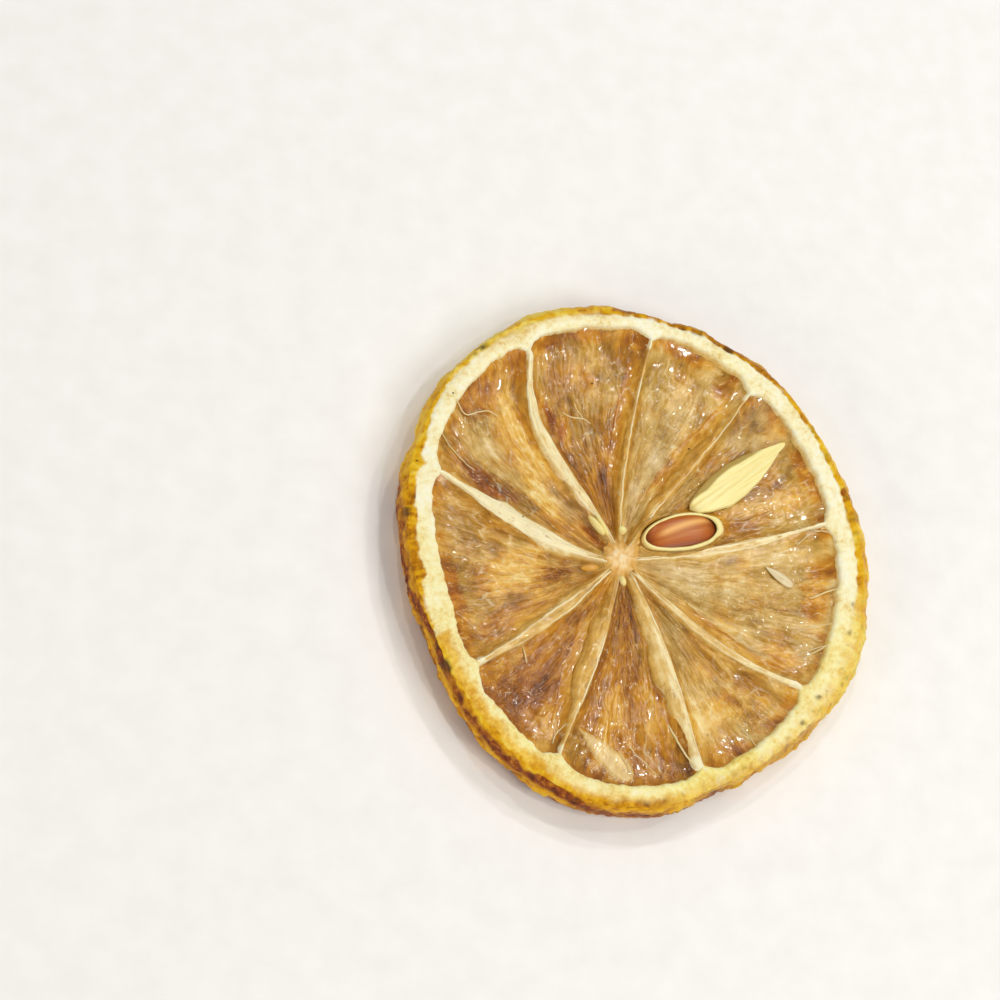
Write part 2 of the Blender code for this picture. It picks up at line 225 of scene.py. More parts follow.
def cells(x, y, seed):
    """How far each point is inside its cell of a loose packing, 0 on a wall, and the cell's number."""
    ix, iy = np.floor(x).astype(np.int64), np.floor(y).astype(np.int64)
    nearest = np.full(x.shape, 9.0)
    second = np.full(x.shape, 9.0)
    number = np.zeros(x.shape)
    for dx in (-1, 0, 1):
        for dy in (-1, 0, 1):
            cx, cy = ix + dx, iy + dy
            px = cx + 0.15 + 0.7 * lattice(cx, cy, cx * 0 + 1, seed)
            py = cy + 0.1 + 0.8 * lattice(cx, cy, cx * 0 + 2, seed)
            away = np.hypot(px - x, py - y)
            closer = away < nearest
            second = np.where(closer, nearest, np.minimum(second, away))
            number = np.where(closer, lattice(cx, cy, cx * 0 + 3, seed), number)
            nearest = np.where(closer, away, nearest)
    return second - nearest, number


def step(value, low, high):
    """0 below low, 1 above high, and smooth between."""
    share = np.clip((value - low) / (high - low), 0, 1)
    return share * share * (3 - 2 * share)


def hump(value, middle, half):
    """1 at a middle value, fading to either side."""
    return np.exp(-(((value - middle) / half) ** 2))


# ==================================================================================================
# Outline
# ==================================================================================================
def waved(angle, mean, waves):
    """A mean length with waves round it, each with its number of lobes, its height and its crest."""
    total = mean
    for lobes, height, crest in waves:
        total = total + height * np.cos(np.radians(lobes * (angle - crest)))
    return total


def turned(angle, middle):
    """Degrees from a middle angle, from -180 to 180."""
    return (angle - middle + 180) % 360 - 180


def arc(angle, middle, half, soft):
    """1 on an arc of the rim, fading to 0 over a soft end."""
    return 1 - step(np.abs(turned(angle, middle)), half - soft / 2, half + soft / 2)


def round_place(angle, radius):
    """x and y of a polar place."""
    return radius * np.cos(np.radians(angle)), radius * np.sin(np.radians(angle))


def lap(count):
    """Even steps once round a circle, in radians."""
    return np.linspace(0, 2 * math.pi, count, endpoint=False)


def stacked(*values):
    """Vectors from their three coordinates, each of which may be the same along a row or a column."""
    return np.stack(np.broadcast_arrays(*values), -1)


def on_line(x, y, start, direction):
    """How far a point lies along a line from its start, and across it to the left."""
    turn = math.radians(direction)
    dx, dy = x - start[0], y - start[1]
    return dx * math.cos(turn) + dy * math.sin(turn), dy * math.cos(turn) - dx * math.sin(turn)


def off_line(along, across, start, direction):
    """x and y of a point that is given along a line and across it to the left."""
    turn = math.radians(direction)
    x = start[0] + along * math.cos(turn) - across * math.sin(turn)
    return x, start[1] + along * math.sin(turn) + across * math.cos(turn)


def heading(start, end):
    """The direction and the length of the way from one place to another."""
    return math.degrees(math.atan2(end[1] - start[1], end[0] - start[0])), math.dist(start, end)


def seed_shares(count):
    """Shares of a seed's length for its rings, closer together towards its ends."""
    return (1 - np.cos(np.linspace(0, math.pi, count)))[:, None] / 2


def swollen(angle, lumps):
    """Flat topped lumps that run out smoothly on both sides."""
    total = 0.0
    for middle, half, height in lumps:
        away = np.abs(turned(angle, middle)) / half
        total = total + height * (1 - np.clip(away, 0, 1) ** 4) ** 2
    return total


def face_radius(angle):
    return waved(angle, FACE_RADIUS, FACE_WAVES) + RIM_ON_FACE * swollen(angle, RIM_LUMPS)


def zest_bulge(angle):
    return waved(angle, ZEST_BULGE, ZEST_LUMPS) + (1 - RIM_ON_FACE) * swollen(angle, RIM_LUMPS)


def wall_lean(angle, height):
    return WALL_LEAN * (1 - height / THICKNESS) * np.cos(np.radians(angle - WALL_LEAN_TOWARDS))


def flesh_radius(angle):
    """Where the pith ends and the pulp starts, with round corners beside each membrane."""
    pith = waved(angle, PITH_WIDTH, PITH_WAVES) + swollen(angle, PITH_LUMPS)
    edge = waved(angle, FACE_RADIUS, FACE_WAVES) - pith
    nearness = 0.0
    for at_rind, _, _ in MEMBRANES:
        away = np.radians(np.abs(turned(angle, at_rind))) * edge
        nearness = np.maximum(nearness, np.clip(1 - away / CORNER_REACH, 0, 1))
    return edge - CORNER_FILLET * nearness**2


def membrane_angle(number, share):
    """Angle of a membrane's line, with share 1 at the rind and 0 at the core."""
    turns, row = divmod(number, len(MEMBRANES))
    at_rind, at_core, bow = MEMBRANES[row]
    angle = at_core + (at_rind - at_core) * np.sqrt(share) + bow * np.sin(np.pi * share)
    return angle + 360 * turns


def ribbon_taper(row, share):
    """A ribbon's width along its line as a share of its width at mid length."""
    return (0.3 + 0.7 * step(share, 0.0, 0.45)) * (1 - RIBBONS[row][4] * step(share, 0.55, 0.97))


def ribbon_width(number, side, share, radius):
    """A ribbon's width on its clockwise side, 0, or its anticlockwise side, 1, along its line."""
    row = number % len(MEMBRANES)
    wobble = 1 + 0.25 * noise(radius / 1.7, side * 7.0, seed=80 + row)
    return np.minimum(RIBBONS[row][0][side] * ribbon_taper(row, share) * wobble, radius * 0.2)


def membrane_top(share):
    """A membrane's height, which dips between the rind and the core."""
    return THICKNESS - MEMBRANE_DROP * (1 - 0.6 * share**6)


def film_height(x, y, across, share, front):
    """The film's level between its membranes, before its wrinkles."""
    sag = FILM_SAG * np.sin(np.pi * across) - (FILM_EDGE_RISE + FILM_AT_RIND) * share**10
    drift = 0.13 * noise(x / 4.1, y / 4.1, 0.0 if front else 3.0, seed=5)
    return FILM_TOP - sag + drift if front else FILM_BACK + 0.6 * sag - drift


# ==================================================================================================
# Where the core lies in the frame, and how a piece becomes a mesh
# ==================================================================================================
def kernel_outline(turn, grow=0.0):
    """The kernel's outline, or one that lies further out, along its axis and across it."""
    along = (KERNEL_LENGTH / 2 + grow) * np.cos(turn)
    across = (KERNEL_WIDTH / 2 + grow) * np.sin(turn) * (1 + 0.1 * np.cos(turn))
    return along, across


def find_core():
    """The kernel's solid lies at a known place from the core, so its box says where the core is."""
    low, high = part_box("brown_kernel")
    x, y = off_line(*kernel_outline(np.radians(np.arange(360.0))), KERNEL_MIDDLE, KERNEL_AXIS)
    middle = (low + high) / 2 / MM
    return np.array([middle.x - (x.max() + x.min()) / 2, middle.y - (y.max() + y.min()) / 2, 0.0])


CORE = find_core()
REACH = np.array(CAD_BOX[1]) / MM  # half width and half length, as the box is centred on the origin
KNEE = 0.5  # how far inside the box the outermost lumps start to be eased back


def kept_inside(points):
    """Eases the outermost lumps back inside the slice's box."""
    for axis in (0, 1):
        limit = REACH[axis] - 0.02
        far = np.abs(points[..., axis])
        over = np.maximum(far - (limit - KNEE), 0)
        eased = np.minimum(far, limit - KNEE) + KNEE * np.tanh(over / KNEE)
        points[..., axis] = np.sign(points[..., axis]) * eased
    points[..., 2] = np.clip(points[..., 2], 0.0, REACH[2] - 0.01)
    return points


def loop_faces(rings, around, closed):
    """Quads between rings of points, the last ring meeting the first where closed."""
    ring = np.arange(rings if closed else rings - 1)[:, None]
    spot = np.arange(around)[None, :]
    after, above = (spot + 1) % around, (ring + 1) % rings
    quads = (ring * around + spot, ring * around + after, above * around + after, above * around + spot)
    return np.stack(np.broadcast_arrays(*quads), -1).reshape(-1, 4)


def tube_faces(rings, around):
    """Quads of a flat tube whose upper side runs one way round each ring and whose under side back."""
    half = np.arange(around // 2 - 1)
    first = np.stack((half, around - 1 - half, around - 2 - half, half + 1), -1)
    last = (rings - 1) * around + first[:, ::-1]
    return np.concatenate((loop_faces(rings, around, closed=False), first, last))


def make_piece(name, bodies, finish, stands_for="lemon_slice", closed=False):
    """Makes one piece from bodies, each of rings of points about the core with the marks they carry,
    and hands it to the frame."""
    points, faces, marks, start = [], [], {}, 0
    for rings, own_marks in bodies:
        count, around = rings.shape[:2]
        own = loop_faces(count, around, True) if closed else tube_faces(count, around)
        flat = rings.reshape(-1, 3)
        corners = flat[own[:, :3]] - flat.mean(axis=0)
        if np.einsum("ij,ij->i", corners[:, 0], np.cross(corners[:, 1], corners[:, 2])).sum() < 0:
            own = own[:, ::-1]
        points.append(flat)
        faces.append(own + start)
        start += len(flat)
        for key, values in own_marks.items():
            wide = np.ndim(values) == 3
            full = np.broadcast_to(values, rings.shape if wide else rings.shape[:2])
            marks.setdefault(key, []).append(full.reshape(-1, 3) if wide else full.reshape(-1))
    mesh = bpy.data.meshes.new(name)
    mesh.from_pydata(kept_inside(np.concatenate(points) + CORE) * MM, [], np.concatenate(faces))
    mesh.update()
    for key, values in marks.items():
        values = np.concatenate(values).astype(np.float32)
        kind, field = ("FLOAT_VECTOR", "vector") if values.ndim == 2 else ("FLOAT", "value")
        mesh.attributes.new(key, kind, "POINT").data.foreach_set(field, values.reshape(-1))
    mesh.shade_smooth()
    mesh.materials.append(finish)
    piece = bpy.data.objects.new(name, mesh)
    bpy.context.scene.collection.objects.link(piece)
    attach(piece, "root")
    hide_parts(stands_for)


# ==================================================================================================
# Finishes
# ==================================================================================================
def linear(colour):
    """A colour's sRGB hex value as linear red, green and blue."""
    parts = [int(colour[i : i + 2], 16) / 255 for i in (1, 3, 5)]
    return (*(c / 12.92 if c <= 0.04045 else ((c + 0.055) / 1.055) ** 2.4 for c in parts), 1.0)


BLEED_DEPTH = 0.4  # how deep light goes into dried fruit, in millimetres
TIMES = {"operation": "MULTIPLY", "use_clamp": True}


def put(tree, kind, inputs=None, stops=None, out=0, **settings):
    """Adds one node: its inputs as values or as other nodes' outputs, a ramp's stops, its settings, and
    which of its outputs is read."""
    node = tree.nodes.new("ShaderNode" + kind)
    for name, value in settings.items():
        setattr(node, name, value)
    for name, value in (inputs or {}).items():
        if isinstance(value, bpy.types.NodeSocket):
            tree.links.new(value, node.inputs[name])
        else:
            node.inputs[name].default_value = linear(value) if isinstance(value, str) else value
    if stops:
        while len(node.color_ramp.elements) < len(stops):
            node.color_ramp.elements.new(0.5)
        for element, (place, colour) in zip(node.color_ramp.elements, stops):
            element.position = place
            element.color = linear(colour)
    return node.outputs[out]


def sum_of(tree, *terms):
    """Adds up values, each a number, an output, or a pair of an output and its weight."""
    total = 0.0
    for term in terms:
        value, weight = term if isinstance(term, tuple) else (term, 1.0)
        total = put(tree, "Math", {0: value, 1: weight, 2: total}, operation="MULTIPLY_ADD")
    return total


def coats(tree, colour, *layers):
    """Lays colours one over another, each as far as its amount says."""
    for amount, over in layers:
        colour = put(tree, "MixRGB", {0: amount, 1: colour, 2: over})
    return colour


def grain_noise(tree, place, across, along, detail=3.0, distortion=0.0, deep=1.0):
    """Noise in cells of a given width, length and depth in millimetres."""
    at = put(tree, "VectorMath", {0: place, 1: (1 / across, 1 / along, 1 / deep)}, operation="MULTIPLY")
    return put(tree, "TexNoise", {"Vector": at, "Scale": 1.0, "Detail": detail, "Roughness": 0.6,
                                  "Distortion": distortion})


def new_finish(name, *marks):
    """An empty material, the place on the object in millimetres, and each mark that the mesh carries at
    its points: its value, or its place along and across the grain."""
    finish = bpy.data.materials.new(name)
    finish.use_nodes = True
    tree = finish.node_tree
    tree.nodes.clear()
    place = put(tree, "VectorMath", {0: put(tree, "TexCoord", out="Object"), 3: 1 / MM}, operation="SCALE")
    read = [put(tree, "Attribute", out="Vector" if mark == "grain" else "Fac", attribute_name=mark)
            for mark in marks]
    return finish, tree, place, *read


def close_finish(tree, relief, depth, bleed=None, **looks):
    """Ends a material: its relief in millimetres, how far red, green and blue light bleed through it,
    and the shader's own values."""
    if relief:
        looks["Normal"] = put(tree, "Bump", {"Height": relief, "Strength": 1.0, "Distance": depth * MM})
    if bleed:
        looks |= {"Subsurface_Radius": bleed, "Subsurface_Scale": BLEED_DEPTH * MM}
    shader = put(tree, "BsdfPrincipled", {name.replace("_", " "): value for name, value in looks.items()})
    output = tree.nodes.new("ShaderNodeOutputMaterial")
    tree.links.new(shader, output.inputs["Surface"])


def dried_pulp():
    """Juice sacs dried to thin films of sugar and cell wall, and the skins between the segments, which
    are drier and paler. Where the film lies close it is clear amber, where air stands behind it beige
    or mauve. It has a varnish gloss that its cockles break into glints."""
    finish, tree, place, grain, light, warm, hazy, rusty, wall, cockled = new_finish(
        "dried_pulp", "grain", "light", "warm", "mauve", "rust", "wall", "cockled")
    fibres = grain_noise(tree, grain, 0.16, 0.7)
    strands = grain_noise(tree, grain, 0.45, 1.4, 3.0, 0.4)
    rumples = grain_noise(tree, grain, 0.5, 1.7, 1.5, 0.3)
    clouds = put(tree, "TexNoise", {"Vector": place, "Scale": 1 / 0.9, "Detail": 3.0, "Roughness": 0.55})
    cockles = put(tree, "TexNoise", {"Vector": place, "Scale": 1 / 0.26, "Detail": 2.0, "Roughness": 0.5})
    tone = sum_of(tree, light, (strands, 0.46), (fibres, 0.3), (clouds, 0.42), -0.58)
    beige, amber, mauve, rust = (put(tree, "ValToRGB", {"Fac": tone}, stops=stops) for stops in (
        ((0.0, "#553A0A"), (0.25, "#8E6416"), (0.5, "#BE943E"), (0.75, "#DFBC72"), (1.0, "#F7E9BC")),
        ((0.0, "#5A3002"), (0.25, "#985A06"), (0.5, "#C58416"), (0.75, "#E7B348"), (1.0, "#FBE49C")),
        ((0.0, "#543E20"), (0.25, "#8E6E40"), (0.5, "#BB9860"), (0.75, "#DEC494"), (1.0, "#FAF0D8")),
        ((0.0, "#562602"), (0.3, "#984C02"), (0.55, "#C27008"), (0.8, "#DC9C34"), (1.0, "#F1CE88")),
    ))
    warmth = sum_of(tree, warm, (clouds, 1.0), -0.5)
    warmth = put(tree, "Math", {0: warmth, 1: 0.0}, operation="ADD", use_clamp=True)
    colour = coats(tree, beige, (warmth, amber), (hazy, mauve), (rusty, rust))

    seams = grain_noise(tree, grain, 0.8, 2.2, 1.5, 0.5)  # two sacs meet where this is at its middle
    seams = put(tree, "Math", {0: seams, 1: 0.5, 2: 0.01}, operation="COMPARE")
    for guide, low, high, strength, shade in (
        (strands, 0.42, 0.55, 0.5, "#A56C1A"),
        (clouds, 0.5, 0.6, 0.6, "#EFDDAE"),
    ):
        shown = put(tree, "MapRange", {0: guide, 1: low, 2: high, 3: 0.0, 4: strength})
        colour = coats(tree, colour, (put(tree, "Math", {0: seams, 1: shown}, **TIMES), shade))
    pale = sum_of(tree, (wall, 1.25), (fibres, 0.8), -0.45)
    colour = coats(tree, colour, (put(tree, "Math", {0: pale, 1: wall}, **TIMES), "#FAEFC4"))
    cockles = put(tree, "Math", {0: cockles, 1: cockled}, **TIMES)
    close_finish(
        tree, sum_of(tree, (rumples, 0.3), (fibres, 0.09), (cockles, 1.2)), 0.17, (1.0, 0.7, 0.3),
        Base_Color=colour, Roughness=put(tree, "MapRange", {0: wall, 3: 0.19, 4: 0.45}), IOR=1.45,
        Specular_IOR_Level=0.32, Subsurface_Weight=0.08, Coat_Weight=0.4, Coat_Roughness=0.06)
    return finish


def dried_membrane():
    """A skin's own white sponge dried to cream parchment, as on its torn edges and loose threads."""
    finish, tree, place, grain, cream = new_finish("dried_membrane", "grain", "cream")
    creases = grain_noise(tree, grain, 0.14, 1.5)
    clouds = put(tree, "TexNoise", {"Vector": place, "Scale": 1 / 0.8, "Detail": 4.0, "Roughness": 0.6})
    tone = sum_of(tree, cream, (clouds, 0.6), (creases, 0.4), -0.5)
    colour = put(tree, "ValToRGB", {"Fac": tone}, stops=(
        (0.0, "#B98538"), (0.25, "#D1A65A"), (0.5, "#E4C989"), (0.75, "#F3E2AC"), (1.0, "#FCF3CB")))
    close_finish(
        tree, creases, 0.08, (1.0, 0.7, 0.35), Base_Color=colour, Roughness=0.42, IOR=1.45,
        Subsurface_Weight=0.2)
    return finish


def dried_peel():
    """Lemon peel: the inner pith dries to a matt cream sponge, the oily zest outside it to a golden
    rind that browns and burns on the wall, with dark dots where its oil glands have collapsed."""
    finish, tree, place, skin, ripeness, toast, zest_tone_and_painted_light, burning, spots, dark = new_finish(
        "dried_peel", "zest", "yellow", "toast", "zest_tone_and_painted_light", "burn", "spots", "dark")
    sponge, clouds, pores, mottle = (
        put(tree, "TexNoise", {"Vector": place, "Scale": 1 / size, "Detail": detail, "Roughness": grit})
        for size, detail, grit in ((0.5, 5.0, 0.65), (2.4, 4.0, 0.6), (0.7, 3.0, 0.5), (0.7, 5.0, 0.7)))
    streaks = grain_noise(tree, place, 1.5, 1.5, 5.0, 0.6, deep=0.4)
    tone = sum_of(tree, (sponge, 0.5), (clouds, 0.5))
    # The zest's tone carries painted highlight on its lumps and painted light on its upper left.
    browning = sum_of(tree, zest_tone_and_painted_light, (streaks, 0.6), (mottle, 0.9), -0.75)
    fresh, ripe, toasted, zest, burnt = (put(tree, "ValToRGB", {"Fac": by}, stops=stops) for by, stops in (
        (tone, ((0.36, "#E4C77E"), (0.44, "#F7E8B2"), (0.53, "#FEF6D0"), (0.68, "#FFFDE8"))),
        (tone, ((0.34, "#DDB648"), (0.44, "#F3D974"), (0.54, "#FCEE9A"), (0.66, "#FFF7C6"))),
        (tone, ((0.34, "#C6881A"), (0.45, "#E0A832"), (0.55, "#F2C850"), (0.68, "#FCE48C"))),
        (browning, (
            (0.1, "#7A4800"), (0.35, "#BE7A00"), (0.55, "#E2A400"), (0.75, "#F0C020"), (1.0, "#FADF60"))),
        (mottle, ((0.34, "#431802"), (0.45, "#742F03"), (0.55, "#9C4C06"), (0.68, "#CC8416"))),
    ))
    burn = sum_of(tree, (burning, 2.0), (streaks, 2.2), (mottle, 2.2), -3.0)
    burn = put(tree, "Math", {0: burn, 1: 1.0}, **TIMES)
    dots = put(tree, "MapRange", {0: pores, 1: 0.55, 2: 0.7})
    dots = put(tree, "Math", {0: dots, 1: spots}, **TIMES)
    pith = coats(tree, fresh, (ripeness, ripe), (toast, toasted))
    zest = coats(tree, zest, (burn, burnt))
    colour = coats(tree, pith, (skin, zest), (dots, "#9C7F2C"), (dark, "#3E2C18"))
    rough_skin = put(tree, "Math", {0: mottle, 1: skin}, **TIMES)
    close_finish(
        tree, sum_of(tree, (sponge, 0.7), (streaks, 0.4), (rough_skin, 1.3)), 0.15, (1.0, 0.75, 0.4),
        Base_Color=colour, Roughness=put(tree, "MapRange", {0: skin, 3: 0.75, 4: 0.36}), IOR=1.45,
        Specular_IOR_Level=0.18, Subsurface_Weight=0.15)
    return finish


def core_sponge():
    """The white strands in the middle of the fruit, dried to a peach-coloured sponge."""
    finish, tree, place, cream = new_finish("core_sponge", "cream")
    sponge = put(tree, "TexNoise", {"Vector": place, "Scale": 1 / 0.45, "Detail": 4.0, "Roughness": 0.6})
    colour = put(tree, "ValToRGB", {"Fac": sum_of(tree, cream, (sponge, 0.7), -0.35)}, stops=(
        (0.0, "#C4882C"), (0.3, "#E0AC54"), (0.6, "#F0CB8A"), (1.0, "#FDEDC6")))
    close_finish(
        tree, sponge, 0.08, (1.0, 0.6, 0.3), Base_Color=colour, Roughness=0.35, IOR=1.45,
        Subsurface_Weight=0.25)
    return finish


def seed_coat(name, stops, shade, painted_highlight, roughness, coat, ior=1.5):
    """A citrus seed's woody coat, dried: smooth and satin, with faint fibres from end to end. It is
    darker where marked as shade, which on the kernel and the pale seed is partly painted shade, and
    paler where a painted highlight is marked."""
    finish, tree, _, grain, shaded, painted_highlight_amount = new_finish(name, "grain", "shade", "painted_highlight")
    fibres = grain_noise(tree, grain, 0.22, 5.0)
    colour = put(tree, "ValToRGB", {"Fac": fibres}, stops=stops)
    close_finish(
        tree, fibres, 0.03, (1.0, 0.6, 0.3), Roughness=roughness, IOR=ior, Coat_Weight=coat,
        Base_Color=coats(tree, colour, (shaded, shade), (painted_highlight_amount, painted_highlight)), Coat_Roughness=0.2,
        Subsurface_Weight=0.12)
    return finish


def speck_finish():
    """Grit and mould specks: matt, nearly black."""
    finish, tree, place = new_finish("speck")
    grit = put(tree, "TexNoise", {"Vector": place, "Scale": 1 / 0.1, "Detail": 2.0})
    colour = put(tree, "ValToRGB", {"Fac": grit}, stops=((0.3, "#15100A"), (0.7, "#3A2C1A")))
    close_finish(tree, grit, 0.02, Base_Color=colour, Roughness=0.8)
    return finish


# ==================================================================================================
# Rind
# ==================================================================================================
WALL_STEPS, TOP_STEPS, SLOPE_STEPS, BACK_STEPS = 22, 20, 5, 9
# Dark marks on the edge of the face: angle, half width in degrees, place inwards, width inwards
DARK_MARKS = (
    (60.5, 1.0, 0.06, 0.14), (28, 1.8, 0.04, 0.12), (34, 2.4, 0.03, 0.12), (11, 2.2, 0.03, 0.12),
    (7, 1.6, 0.02, 0.1), (68, 2.2, 0.06, 0.18), (71, 1.0, 0.0, 0.08), (171, 1.2, 0.02, 0.06),
    (213, 1.6, 0.0, 0.06), (123, 2.0, 0.0, 0.08), (318, 0.7, 0.3, 0.08), (302, 1.0, 0.2, 0.1),
    (352, 0.6, 0.35, 0.07), (336, 0.9, 0.36, 0.08), (345, 0.6, 0.32, 0.08), (326, 0.7, 0.3, 0.08),
)
PITH_FOOT = 1.3  # how far down the cut pith reaches beside the pulp
PITH_INSIDE = (2.1, 1.2)  # heights of the pith's inner wall, hidden by the films
WALL_LUMP = 0.48
CUT_LUMP = 0.26


def wall_swell(level):
    """How far the zest stands out at a level of the wall, from none at both cut faces."""
    return np.sin(np.pi * np.clip(level, 0, 1) ** 0.95) ** 0.6


def rind_marks(angle, level, inward, lumps):
    """Where the peel is zest, how light the zest is, which is partly painted light, and where it is
    yellow, toasted, burnt, spotted or dark. Level runs up the wall from 0 to 1, and inward over the cut
    face from 0 at its outer edge to 1 at the pulp."""
    x, y = round_place(angle, FACE_RADIUS)
    patchy = rough(x / 1.1, y / 1.1, inward * 2 + level * 2, seed=31)
    broad = rough(x / 4.0, y / 4.0, inward + level, seed=32)
    on_wall = level < 0.999
    right = arc(angle, 0, 40, 30)
    low_right = arc(angle, 315, 35, 20)
    lower = arc(angle, 275, 30, 20)
    left = arc(angle, 171, 22, 12)
    top = arc(angle, 108, 20, 20)
    soft = 0.07 + 0.3 * low_right + 0.3 * lower + 0.06 * right + 0.3 * top
    edge = 0.03 + 0.22 * left + 0.05 * low_right + 0.16 * patchy + 0.05 * right - 0.1 * top
    on_cut = (1 - 0.55 * low_right) * (1 - step(inward, edge, edge + soft))
    zest = np.where(on_wall, 1 - 0.25 * low_right * step(level, 0.6, 1.0), on_cut)
    tear = arc(angle, 226, 21, 1.6)
    outer = 1 - step(inward, 0.25 + 0.3 * patchy, 0.75 + 0.3 * patchy)
    toast = (0.95 * tear + 0.5 * arc(angle, 264, 20, 14) + 0.3 * top) * outer
    toast = toast + 0.75 * step(inward, 1.05, 1.4)
    yellow = 0.06 + 0.55 * arc(angle, 252, 48, 30) + 0.25 * arc(angle, 190, 22, 16)
    yellow = yellow + 0.55 * low_right + 0.3 * broad
    low_left = arc(angle, 226, 32, 16)
    upper_left = arc(angle, 130, 32, 14)
    # The zest is lighter on the crests of its lumps, which is painted highlight, and on the upper left,
    # which is painted light; the rest is its own tone.
    zest_tone_and_painted_light = 0.46 + 0.5 * lumps + 0.26 * right + 0.26 * upper_left + 0.16 * top + 0.1 * low_right
    zest_tone_and_painted_light = zest_tone_and_painted_light + low_left * (0.25 * hump(level, 0.97, 0.1) + 0.06 * hump(level, 0.45, 0.2))
    band = hump(level, 0.46 + 0.36 * low_left - 0.15 * broad, 0.28 - 0.14 * low_left)
    burn = 0.1 + 0.95 * low_left + 1.1 * arc(angle, 182, 20, 20) + 0.9 * arc(angle, 270, 26, 20)
    burn = band * burn * (1 + 0.8 * patchy) + 0.7 * hump(level, 0.1, 0.2) * (low_left + lower)
    burn = burn + 0.3 * low_left * hump(level, 0.45, 0.25)
    on_right = (arc(angle, 12, 14, 8) + 0.6 * arc(angle, 50, 30, 20)) * step(patchy, 0.0, 0.35)
    burn = np.where(on_wall, burn + 0.6 * on_right * step(level, 0.6, 0.9), 0.6 * zest * on_right)
    spots = (0.15 + 0.5 * low_right) * step(zest, 0.05, 0.5)
    dark = 0.0
    for middle, half, at, width in DARK_MARKS:
        near = arc(angle, middle, half, half) * hump(inward, at, width)
        dark = dark + near * step(patchy, -0.25, 0.35) * np.where(on_wall, step(level, 0.6, 1), 1)
    marks = {"zest": zest, "toast": toast, "yellow": yellow, "burn": burn, "spots": spots}
    marks["dark"] = 0.85 * dark
    return {key: np.clip(value, 0, 1) for key, value in marks.items()} | {"zest_tone_and_painted_light": zest_tone_and_painted_light}


def rind(finish):
    """The ring of peel: up the wall, over the cut pith, down to the pulp and back underneath."""
    angle = np.linspace(0, 360, RIND_COLUMNS, endpoint=False)[:, None]
    top = waved(angle, THICKNESS, FACE_WARP)
    face = face_radius(angle)
    ring_x, ring_y = round_place(angle, FACE_RADIUS)
    flesh = flesh_radius(angle) + 0.2 * rough(ring_x / 1.1, ring_y / 1.1, seed=21)
    flesh = flesh + 0.05 * rough(ring_x / 0.35, ring_y / 0.35, seed=22)
    width = face - flesh

    level = np.linspace(0.0, 1.0, WALL_STEPS, endpoint=False)[None, :]
    wall_z = level * top
    lumps = (0.55 * rough(ring_x / 2.2, ring_y / 2.2, wall_z / 1.6, seed=11)
             + 0.5 * rough(ring_x / 0.8, ring_y / 0.8, wall_z / 0.7, seed=12)
             - 0.35 * creased(ring_x / 0.9, ring_y / 0.9, wall_z / 0.9, seed=13))
    swell = wall_swell(level)
    wall_r = face + wall_lean(angle, wall_z) + zest_bulge(angle) * swell
    wall_r = wall_r + (WALL_LUMP * lumps - 0.02) * np.sqrt(swell)

    inward = np.linspace(0.0, 1.0, TOP_STEPS)[None, :] ** 0.8
    rim_lumps = 0.6 * rough(ring_x / 0.9, ring_y / 0.9, seed=14)
    rim_lumps = rim_lumps + 0.5 * rough(ring_x / 0.45, ring_y / 0.45, seed=18)
    top_r = face - inward * width + CUT_LUMP * rim_lumps * (1 - inward) ** 3
    x, y = round_place(angle, top_r)
    outer_round = 0.22 * np.clip(1 - inward * width / 0.45, 0, 1) ** 2
    inner_round = 0.14 * np.clip(1 - (1 - inward) * width / 0.35, 0, 1) ** 2
    sponge = 0.07 * rough(x / 1.7, y / 1.7, seed=15) + 0.04 * rough(x / 0.45, y / 0.45, seed=16)
    top_z = top - 0.06 + 0.1 * np.sin(np.pi * inward) + sponge - outer_round - inner_round
    top_z = top_z + 0.15 * rim_lumps * hump(inward, 0.1, 0.16)

    down = np.linspace(0.0, 1.0, SLOPE_STEPS + 1)[None, 1:]
    under = np.linspace(0.0, 1.0, BACK_STEPS)[None, :-1]
    back_r = flesh - 0.2 + under * (face + wall_lean(angle, 0.0) - flesh + 0.2)
    x, y = round_place(angle, back_r)
    back_z = np.clip(0.07 + 0.08 * rough(x / 0.9, y / 0.9, seed=17) + 0.5 * (1 - under) ** 4, 0, 2)

    strips = (  # radius, height, level on the wall, way inwards over the cut, lumps
        (wall_r, wall_z, level, 0.0, lumps),
        (top_r, top_z, 1.0, inward, rim_lumps),
        (flesh - PITH_SLOPE * down, top_z[:, -1:] - PITH_FOOT * down, 1.0, 1 + down, rim_lumps),
        (flesh - PITH_SLOPE, np.array([PITH_INSIDE]), 1.0, 1.0, rim_lumps),
        (back_r, back_z, 1.0, 1 - under, rim_lumps),
    )
    strips = [np.broadcast_arrays(angle, *strip) for strip in strips]
    angle, radius, height, level, inward, lumps = (np.concatenate(parts, axis=1) for parts in zip(*strips))
    rings = stacked(*round_place(angle, radius), height)
    make_piece("rind", [(rings, rind_marks(angle, level, inward, lumps))], finish, closed=True)


# ==================================================================================================
# Pulp films
# ==================================================================================================
TUCK = 1.026  # the film's share of the way to the rind at which it ends, under the pith
FILM_START = 0.001
SAC_WIDTH = 1.5  # at the rind
SAC_LENGTH = 4.6
FILM_AT_RIND = 0.12  # how much further it climbs the pith than its solid does
SUNK_SEED = ((-5.0, -16.7), (-0.4, -21.0), 1.15)  # drawn-out end, blunt end, half width
SEED_GAP = 0.3  # between the kernel and the husk round it
# Relief of a film in millimetres: its sac walls, broad swells, folds, crumpled places and fine wrinkles
SAC_WALL, SWELL, FOLD, CRUMPLE, WRINKLE = 0.05, 0.14, 0.1, 0.18, 0.035

